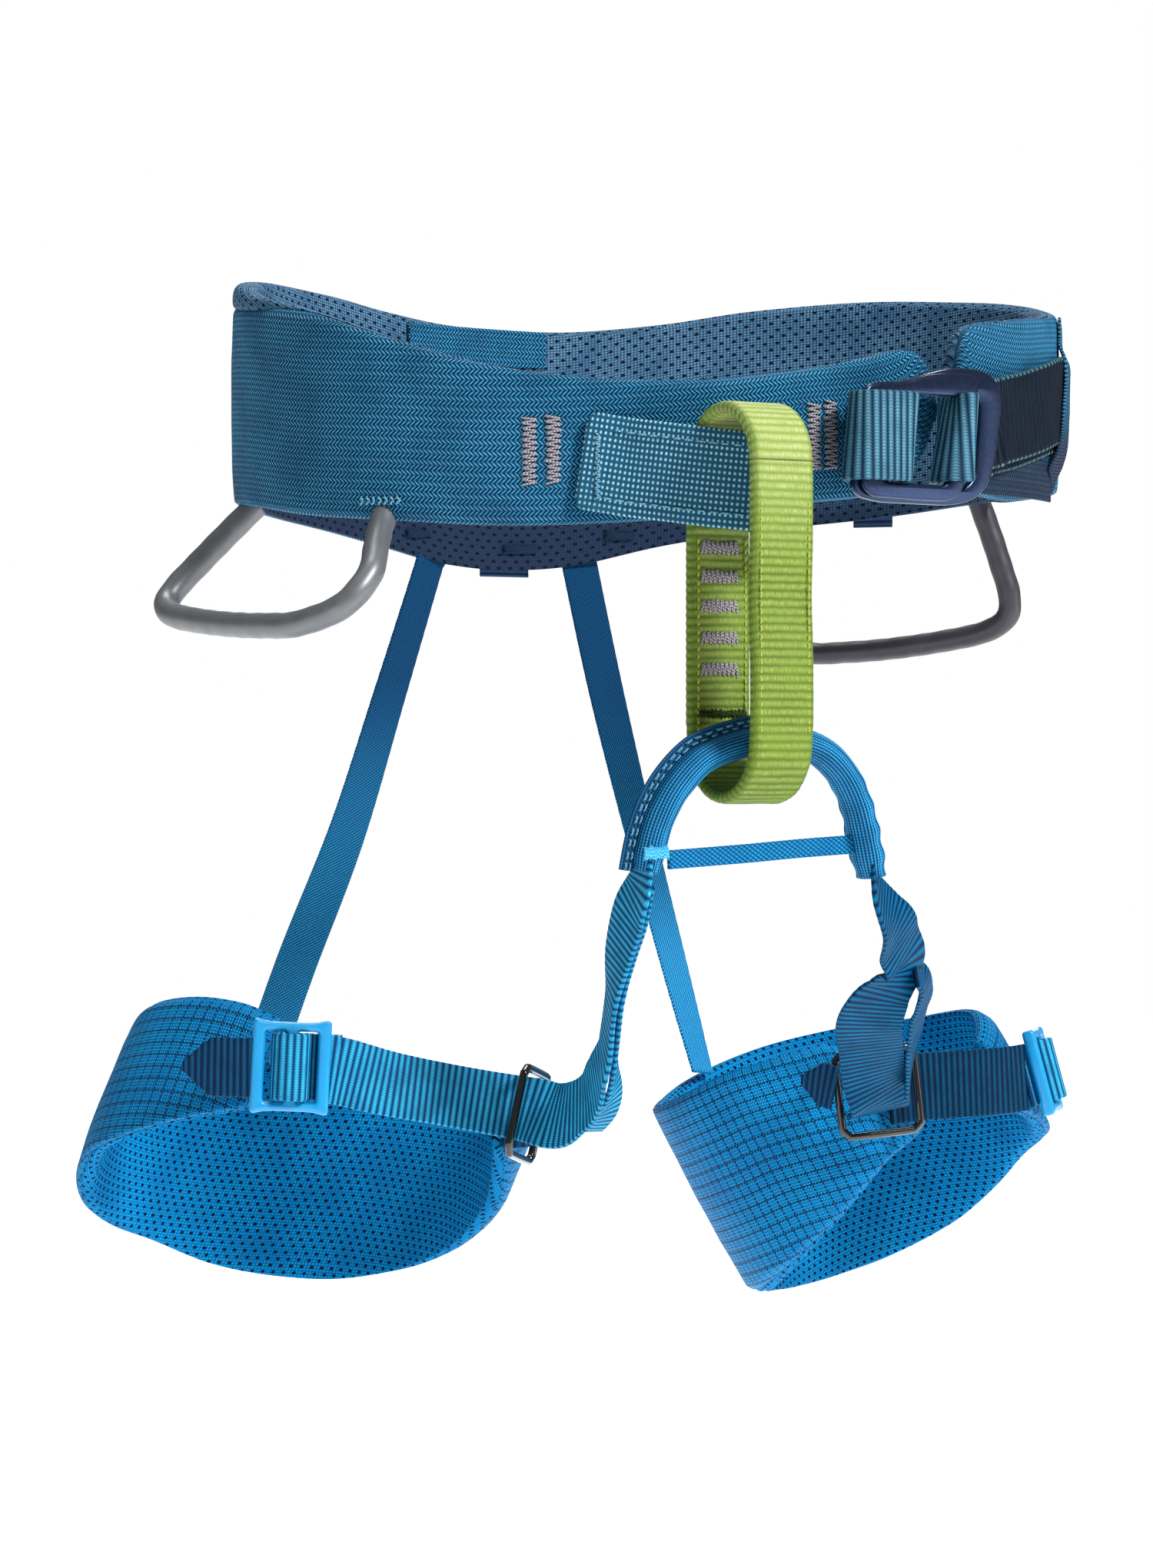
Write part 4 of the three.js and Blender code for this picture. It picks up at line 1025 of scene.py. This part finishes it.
def leg_ring(leg):
    centre, along, up = HARDWARE[leg]["ring"]
    x = Vector(along).normalized()
    y = x.cross(Vector(up)).normalized().cross(x)
    half, tall, corner = 12.0, 12.3, 3.6
    rows = []
    for cx, cy, start in ((1, 1, 0), (-1, 1, 90), (-1, -1, 180), (1, -1, 270)):
        for turn in (0, 30, 60, 90):
            angle = math.radians(start + turn)
            u = cx * (half - corner) + corner * math.cos(angle)
            v = cy * (tall - corner) + corner * math.sin(angle)
            rows.append([*(Vector(centre) + x * u + y * v), *x.cross(y)])
    wire = tube(f"leg_wire_{leg}", rows, 1.2, MATERIALS["wire"], 16, 0.8, closed=True)
    piece(wire, f"leg_ring_{leg}", "steel", f"leg_ring_{leg}")


WRAP_SHAPE = [
    (14.4, -3.4), (12.6, -3.4), (8, -3.3), (5.2, -1.8), (4.5, 1.2), (3, 3.7), (0, 4.4), (-3, 3.7), (-4.5, 1.2),
    (-4.7, -1.6), (-3.4, -4.2), (0, -5.2), (6.6, -5.5),
]


def leg_wrap(leg):
    centre, along, up = HARDWARE[leg]["buckle"]
    x = Vector(along).normalized()
    out = x.cross(Vector(up)).normalized()
    across = out.cross(x)
    toward = HARDWARE[leg]["toward"]
    rows = [[*(Vector(centre) + x * (s * toward) + out * n), *across] for s, n in WRAP_SHAPE]
    wrap = ribbon(f"leg_wrap_{leg}", rows, 18.6, THICK, MATERIALS["bridge"], 0.65, ribs(LEG_RIB, 0.12), 8)
    piece(wrap, f"leg_buckle_{leg}", "leg_webbing", f"leg_strap_wrap_{leg}")


ANCHORS = {
    "buckle_right": ([[-143, -23.1, -178.5, 0, 0, 1], [-140, -25.5, -178.5, 0, 0, 1], [-136, -28.6, -178.6, 0, 0, 1],
                      [-129.6, -33, -178.7, 0, 0, 1], [-126, -35, -178.7, 0, 0, 1]], 16.5, "buckle_anchor_right"),
    "ring_right": ([[-51.8, -39.2, -196.6, 0.1, 0.1, 1], [-51.6, -41.6, -196.4, 0.1, 0.1, 1],
                    [-49.4, -43.4, -196.2, 0.2, 0.1, 1], [-46.4, -43, -196, 0.28, 0.1, 1]], 13.6,
                   "ring_anchor_right"),
    "buckle_left": ([[141.5, -8, -187, -0.2, 0, 1], [140.8, -12.5, -187, -0.2, 0, 1], [140, -18, -187, -0.2, 0, 1],
                     [138.4, -21, -187, -0.2, 0, 1]], 16.5, "buckle_anchor_left"),
    "ring_left": ([[46, -33.8, -187, -0.2, 0, 1], [50, -38.6, -188.2, -0.22, 0, 1],
                   [52.6, -41.8, -189.4, -0.24, 0, 1]], 13.6, "ring_anchor_left"),
}


def anchors():
    for name, (rows, width, node) in ANCHORS.items():
        def wedge(distance, full=width):
            """A pointed end, as the folded fabric comes out from under the pad's cloth."""
            return min(full, 3 + 1.7 * distance)
        taper = wedge if name in ("buckle_right", "ring_left") else None
        # The anchors' colour is navy webbing darkened further as painted shade.
        band = ribbon(f"anchor_{name}", rows, width, THICK, MATERIALS["navy_webbing"], 0.65, ribs(LEG_RIB, 0.12), 8,
                      widen=taper)
        piece(band, "legs", "leg_webbing", node)


# ---- waist webbing

def waist_webbing():
    wide, dark = MATERIALS["waist_webbing"], MATERIALS["dark_webbing"]
    rows = [beside(s, n, -3.4, 0.11) for s, n in (
        (-23.6, -6.6), (-26.8, -3.8), (-29.4, -0.4), (-29.2, 2.8), (-26.8, 5.6), (-22, 6.5), (-16, 6.7),
        (-12, 6.2), (-9.6, 3.4), (-9.6, -0.5), (-11, -4), (-15, -5.6), (-21, -6.4))]
    band = ribbon("anchor_webbing", rows, 25, THICK, wide, 0.6, ribs(WAIST_RIB, 0.2), 10)
    piece(band, "waist", "waist_webbing", "waist_webbing_anchor")
    rows = [beside(*place) for place in (
        (23, -3.9, -1.2, 0), (18.4, -3.8, -1.6, 0), (14.8, -2.8, -1.8, 0), (13, 0.4, -2, 0.05), (12.6, 4, -2.2, 0.05),
        (10.8, 6, -2.4, 0.1), (8.4, 6.3, -2.6, 0.15), (6.1, 4.4, -2.8, 0.24), (5.4, 0.4, -3, 0.24),
        (6.6, -4, -3, 0.2), (12, -6.6, -2.5, 0.1), (20.4, -7.2, -2, 0), (25, -7.6, -2, 0))]
    band = ribbon("wrap_webbing", rows, 25, THICK, wide, 0.6, ribs(WAIST_RIB, 0.2), 10)
    piece(band, "waist_buckle", "waist_webbing", "waist_strap_wrap")
    belt_places = ((-50, 3.6, 7.5), (-42, 2.8, 11), (-34, 1.8, 14), (-26, 1.4, 16), (-18, 1.4, 17), (-10, 1.4, 17.6))
    rows = [beside(*place) for place in ((24.4, -4, 2), (28.2, -5.1, 2.7), (33, -6.6, 4))]
    rows += [[*belt_point(a, BELT_FACE + n, z), 0, 0, 1] for a, n, z in belt_places]
    band = ribbon("tail_webbing", rows, 25, 1.4, dark, 0.5, ribs(DARK_RIB, 0.24), 10)
    piece(band, "waist", "waist_webbing_dark", "waist_strap_tail")
    rows = [beside(*place) for place in ((24, -7.6, -0.4), (28, -8.6, 0.4), (32, -10, 1.5))]
    belt_places = ((-54, 1.6, 3.2), (-50, 1.2, 5), (-42, 1, 8.6), (-35, 0.9, 11.2))
    rows += [[*belt_point(a, BELT_FACE + n, z), 0, 0, 1] for a, n, z in belt_places]
    band = ribbon("base_webbing", rows, 25, 1.4, dark, 0.6, ribs(DARK_RIB, 0.16), 8)
    piece(band, "waist", "waist_webbing_dark", "waist_strap_base")


def up_the_belt(degrees, stations):
    """Rows up the belt at an angle: [offset from its face, z], width along the belt."""
    out = belt_out(degrees)
    return [[*belt_point(degrees, BELT_FACE + n, z), -out.y, out.x, 0] for n, z in stations]


def keeper():
    rows = [up_the_belt(degrees, [(out, z)])[0] for degrees, out, z in (
        (-25, 0.5, 38.6), (-25.5, 0.6, 35), (-26, 0.9, 31), (-27, 2.4, 27), (-28, 3, 23), (-29, 3, 16),
        (-30.5, 3, 9), (-32, 2.9, 2.4), (-34, 2.3, -3), (-36, 1.1, -8), (-37, 0.6, -10.4))]

    def fold(distance, across):
        return 0.3 * step01(abs(across), 6.8, 7.6) + wobble((distance, across, 9), 6, 0.15)
    band = ribbon("keeper_band", rows, 11, 0.9, MATERIALS["keeper_cloth"], 0.9, fold, 14)
    piece(band, "waist", "belt_shell", "strap_keeper")
    rows = [[*belt_point(degrees, BELT_FACE + 0.6, -10.6), 0, 0, 1] for degrees in (-64, -60, -54, -48, -42, -37)]
    patch = ribbon("buckle_side_cloth", rows, 12, 0.7, MATERIALS["navy_cloth"], 0.9, fold, 14)
    piece(patch, "waist", "belt_shell")


def tabs():
    for name, degrees, low, high, width in (("haul_tab", 92.5, -34.2, -14, 17), ("side_tab_left", 35, -17.8, 0, 13)):
        rows = up_the_belt(degrees, [(1.0, high), (1.5, (low + high) / 2), (1.2, low)])
        band = ribbon(name + "_webbing", rows, width, THICK, MATERIALS["mesh_tab"], 0.8, ribs(1.6, 0.15), 8)
        piece(band, "waist", "belt_mesh", name)


# ---- gear loops and risers

GEAR_SHAPE = [
    (2.5, -3.5), (0, 2), (-4.5, 10), (-10.5, 21), (-8, 32.5), (6, 38.4), (20, 38.6), (36, 37.6), (54, 35.4),
    (68, 32.6), (75.4, 28), (76.4, 21), (74.4, 13), (72, 4.5), (69.5, -3.4), (67, -11),
]
GEAR_LOOPS = {"right": ((-94.5, -52, -27.5), (-114.5, 13, -20.5), 42), "left": ((96, 74, -19.5), (139, 21, -14), 8)}


def gear_loop(side):
    start, end, tilt = GEAR_LOOPS[side]
    start = Vector(start)
    along = Vector(end) - start
    along.z = 0
    along.normalize()
    away = Vector((along.y, -along.x, 0))
    if away.dot(start) < 0:
        away.negate()
    swing = math.radians(tilt)
    down = away * math.sin(swing) - Vector((0, 0, math.cos(swing)))
    across = along.cross(down)
    rows = [[*(start + along * s + down * d), *across] for s, d in GEAR_SHAPE]

    def relief(distance, angle):
        return 0.05 * math.sin(distance * 0.8) + 0.06 * math.cos(2 * angle) - 0.1
    # The loop on the wearer's left gets the darker copy of the grey, which is painted shade.
    skin = MATERIALS["gear" if side == "right" else "gear_dark"]
    body = tube(f"gear_tube_{side}", rows, 3.7, skin, 24, 1.0, 1.0, relief)
    piece(body, f"gear_loop_{side}", "gear_loop", f"gear_loop_{side}")


RISERS = {
    "right": [[-22, 85.4, -29, 0.9, 0.43, 0], [-23.5, 84.5, -33.4, 0.9, 0.43, 0], [-38, 80, -72, 0.93, 0.3, 0],
              [-55, 73.5, -115, 0.95, 0.1, 0], [-75, 64.5, -154, 0.93, -0.2, 0], [-89, 57, -183, 0.91, -0.3, 0]],
    "left": [[31, 89, -29, 1, 0, 0], [31.5, 88.5, -33.2, 1, 0, 0], [37, 81, -72, 1, 0.05, 0],
             [44, 70, -118, 0.97, 0.25, 0], [50, 57.5, -160, 0.9, 0.42, 0], [54, 47.4, -190, 0.81, 0.59, 0]],
}


def riser(side):
    rows = RISERS[side]
    band = ribbon(f"riser_band_{side}", rows, 12.4, 1.0, MATERIALS["riser"], 1.0, ribs(1.3, 0.1), 6)
    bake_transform(band)
    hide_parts(f"riser_{side}")


# ---- leg pads

PAD = {"lean_x": -0.5, "lean_y": 0.2, "level": -200}
LEFT_PAD = [
    (84.5, -33.4, -196, -203), (77.5, -32.8, -184, -207), (70, -31.4, -178, -211), (59.4, -27.8, -180, -219),
    (48.8, -21.8, -183, -228), (38.8, -12.7, -187, -237), (31.2, -2, -192, -245), (28.2, 11, -196, -251),
    (29.6, 25, -198.5, -254.5), (37.6, 39, -198, -256), (53, 51, -194, -256.5), (72, 58, -189, -254.5),
    (92, 59.4, -184, -250.5), (111, 55.4, -180, -244), (126, 47.6, -177, -236.5), (137.5, 36, -175, -226.5),
    (143.8, 22.5, -172.5, -217), (145, 9, -171, -211.5), (142, -3, -171.5, -207.5), (135, -13.5, -175, -203),
    (126.5, -21, -179.5, -199.5),
]
RIGHT_PAD = [
    (52, -37.5, -190.5, -203), (44, -28, -189.5, -212), (36.8, -16, -188.5, -222), (33.4, -1, -188, -231.5),
    (33.4, 15, -187, -238.5), (38, 31, -186.5, -243.5), (50, 46.5, -185.5, -246.5), (68, 56.5, -184.5, -245.5),
    (88, 60.4, -183, -241.5), (108, 59, -180.5, -234.5), (125, 53, -177.5, -229), (138, 44, -174, -222.5),
    (147.5, 32, -169.5, -213.5), (152.2, 18, -164.5, -205), (151.5, 5, -162, -200.5), (146.5, -7, -161.3, -196.3),
    (138, -17.5, -163, -193), (129, -24.6, -167, -191),
]


def pad_rings(stations, mirror, shape, ripple):
    """Rings round a pad: shape(top, bottom) gives (offset, z) points."""
    rows = spline(stations, 6)
    rings, coordinates, distance, before = [], [], 0.0, None
    for i, (x, y, top, bottom) in enumerate(rows):
        after = Vector(rows[min(i + 1, len(rows) - 1)][:2])
        behind = Vector(rows[max(i - 1, 0)][:2])
        along = (after - behind).normalized()
        out = Vector((-along.y, along.x))
        distance += (Vector((x, y)) - before).length if before else 0
        before = Vector((x, y))
        ring, row, across, last = [], [], 0.0, None
        for n, z in shape(top, bottom):
            across += math.dist((n, z), last) if last else 0
            last = (n, z)
            rise = z - PAD["level"]
            spot = Vector((mirror * (x + PAD["lean_x"] * rise), y + PAD["lean_y"] * rise, z))
            n += ripple(spot, n)
            ring.append(spot + Vector((mirror * out.x * n, out.y * n, 0)))
            row.append((across, distance))
        rings.append(ring)
        coordinates.append([(x - row[-1][0], y) for x, y in row])
    return rings, coordinates


def leg_pad(leg, stations, mirror):
    def outer(top, bottom):
        inset = slim(top, bottom)
        tall, crown = top - bottom, 0.45 * inset
        return profile([(-0.5, bottom + 1.4), (0.9, bottom + 0.2), (2.7, bottom + 0.9), (3.4, bottom + 3.4 * inset),
                        (3.5 + crown, bottom + tall * 0.35), (3.5 + crown, bottom + tall * 0.65),
                        (3.4, top - 3.6 * inset), (2.7, top - 1.0 * inset), (1.2, top - 0.1), (-0.5, top - 1.2)])

    def inner(top, bottom):
        inset = slim(top, bottom)
        middle, crown = (top + bottom) / 2, 0.45 * inset
        return profile([(1.2, bottom + 1.0), (0.4, bottom - 0.3), (-1.4, bottom - 0.1), (-3.2, bottom + 2.4 * inset),
                        (-3.5 - crown, middle), (-3.2, top - 2.4 * inset), (-1.4, top + 0.2), (0.6, top + 0.5),
                        (1.6, top - 0.6), (0.6, top - 1.4)])

    def puckered(spot, n):
        return (wobble(spot, 13, 0.4) + wobble(spot, 5.5, 0.14)) if abs(n) > 1.5 else 0
    rings, coordinates = pad_rings(stations, mirror, outer, puckered)
    cloth = grid_mesh(f"pad_fabric_{leg}", rings, coordinates, MATERIALS["pad"])
    piece(cloth, "legs", "pad_shell", f"leg_pad_shell_{leg}", f"leg_pad_foam_{leg}")
    rings, coordinates = pad_rings(stations, mirror, inner, lambda spot, n: -puckered(spot, n))
    lining = grid_mesh(f"pad_lining_{leg}", rings, coordinates, MATERIALS["pad_mesh"])
    piece(lining, "legs", "pad_mesh", f"leg_pad_liner_{leg}")


# ---- belt bartacks

def belt_tacks():
    def tack(name, degrees, low, high, width, turns, material, side=1):
        """An upright bartack on the belt's outer face, or on its inner face with side -1."""
        out = belt_out(degrees) * side
        along = Vector((-out.y, out.x, 0))
        corner = belt_point(degrees, side * (BELT_FACE + 0.55), low) - along * (width / 2)
        return bartack(name, corner, (0, 0, 1), along, out, (high - low, width), turns, material, 0.33)
    grey, navy = MATERIALS["grey_thread"], MATERIALS["navy_thread"]
    front = [tack("front_tack", degrees, low, high, 4.2, 12, grey)
             for degrees, low, high in ((-126.1, -17.8, 0.8), (-122.9, -17.4, 1.2), (-88.4, -12.5, 6), (-86, -12, 7))]
    hem = [tack("hem_tack", degrees, -22.6, -20.4, 0.9, 1, MATERIALS["blue_thread"])
           for degrees in (-151, -150, -149, -148, -147, -146, -145)]
    piece(join("belt_front_bartacks", front + hem), "waist", "belt_shell")
    rows = [[*belt_point(degrees, -BELT_FACE - 0.75, 37.2 + 0.02 * (degrees + 272)), 0, 0, 1]
            for degrees in range(-272, -247, 4)]
    band = ribbon("back_twill_patch", rows, 11.5, 0.8, MATERIALS["belt"], 0.9, ribs(7, 0.3), 14)
    piece(band, "waist", "belt_shell")
    inside = [tack("back_tack", degrees, low, high, width, turns, navy, -1)
              for degrees, low, high, width, turns in ((-250, -23, -21, 9, 3), (-268, -27, -25, 12, 3),
                                                       (-284, -22, -20, 10, 3))]
    piece(join("belt_back_bartacks", inside), "waist", "belt_mesh")


camera()
studio()
belt_fabric()
belt_lining()
sheath()
belay_loop()
leg_arch()
cross_strap()
leg_webbing()
waist_buckle()
for leg in ("left", "right"):
    leg_buckle(leg)
    leg_ring(leg)
    leg_wrap(leg)
    gear_loop(leg)
    riser(leg)
leg_pad("left", LEFT_PAD, 1)
leg_pad("right", RIGHT_PAD, -1)
anchors()
waist_webbing()
keeper()
tabs()
belt_tacks()
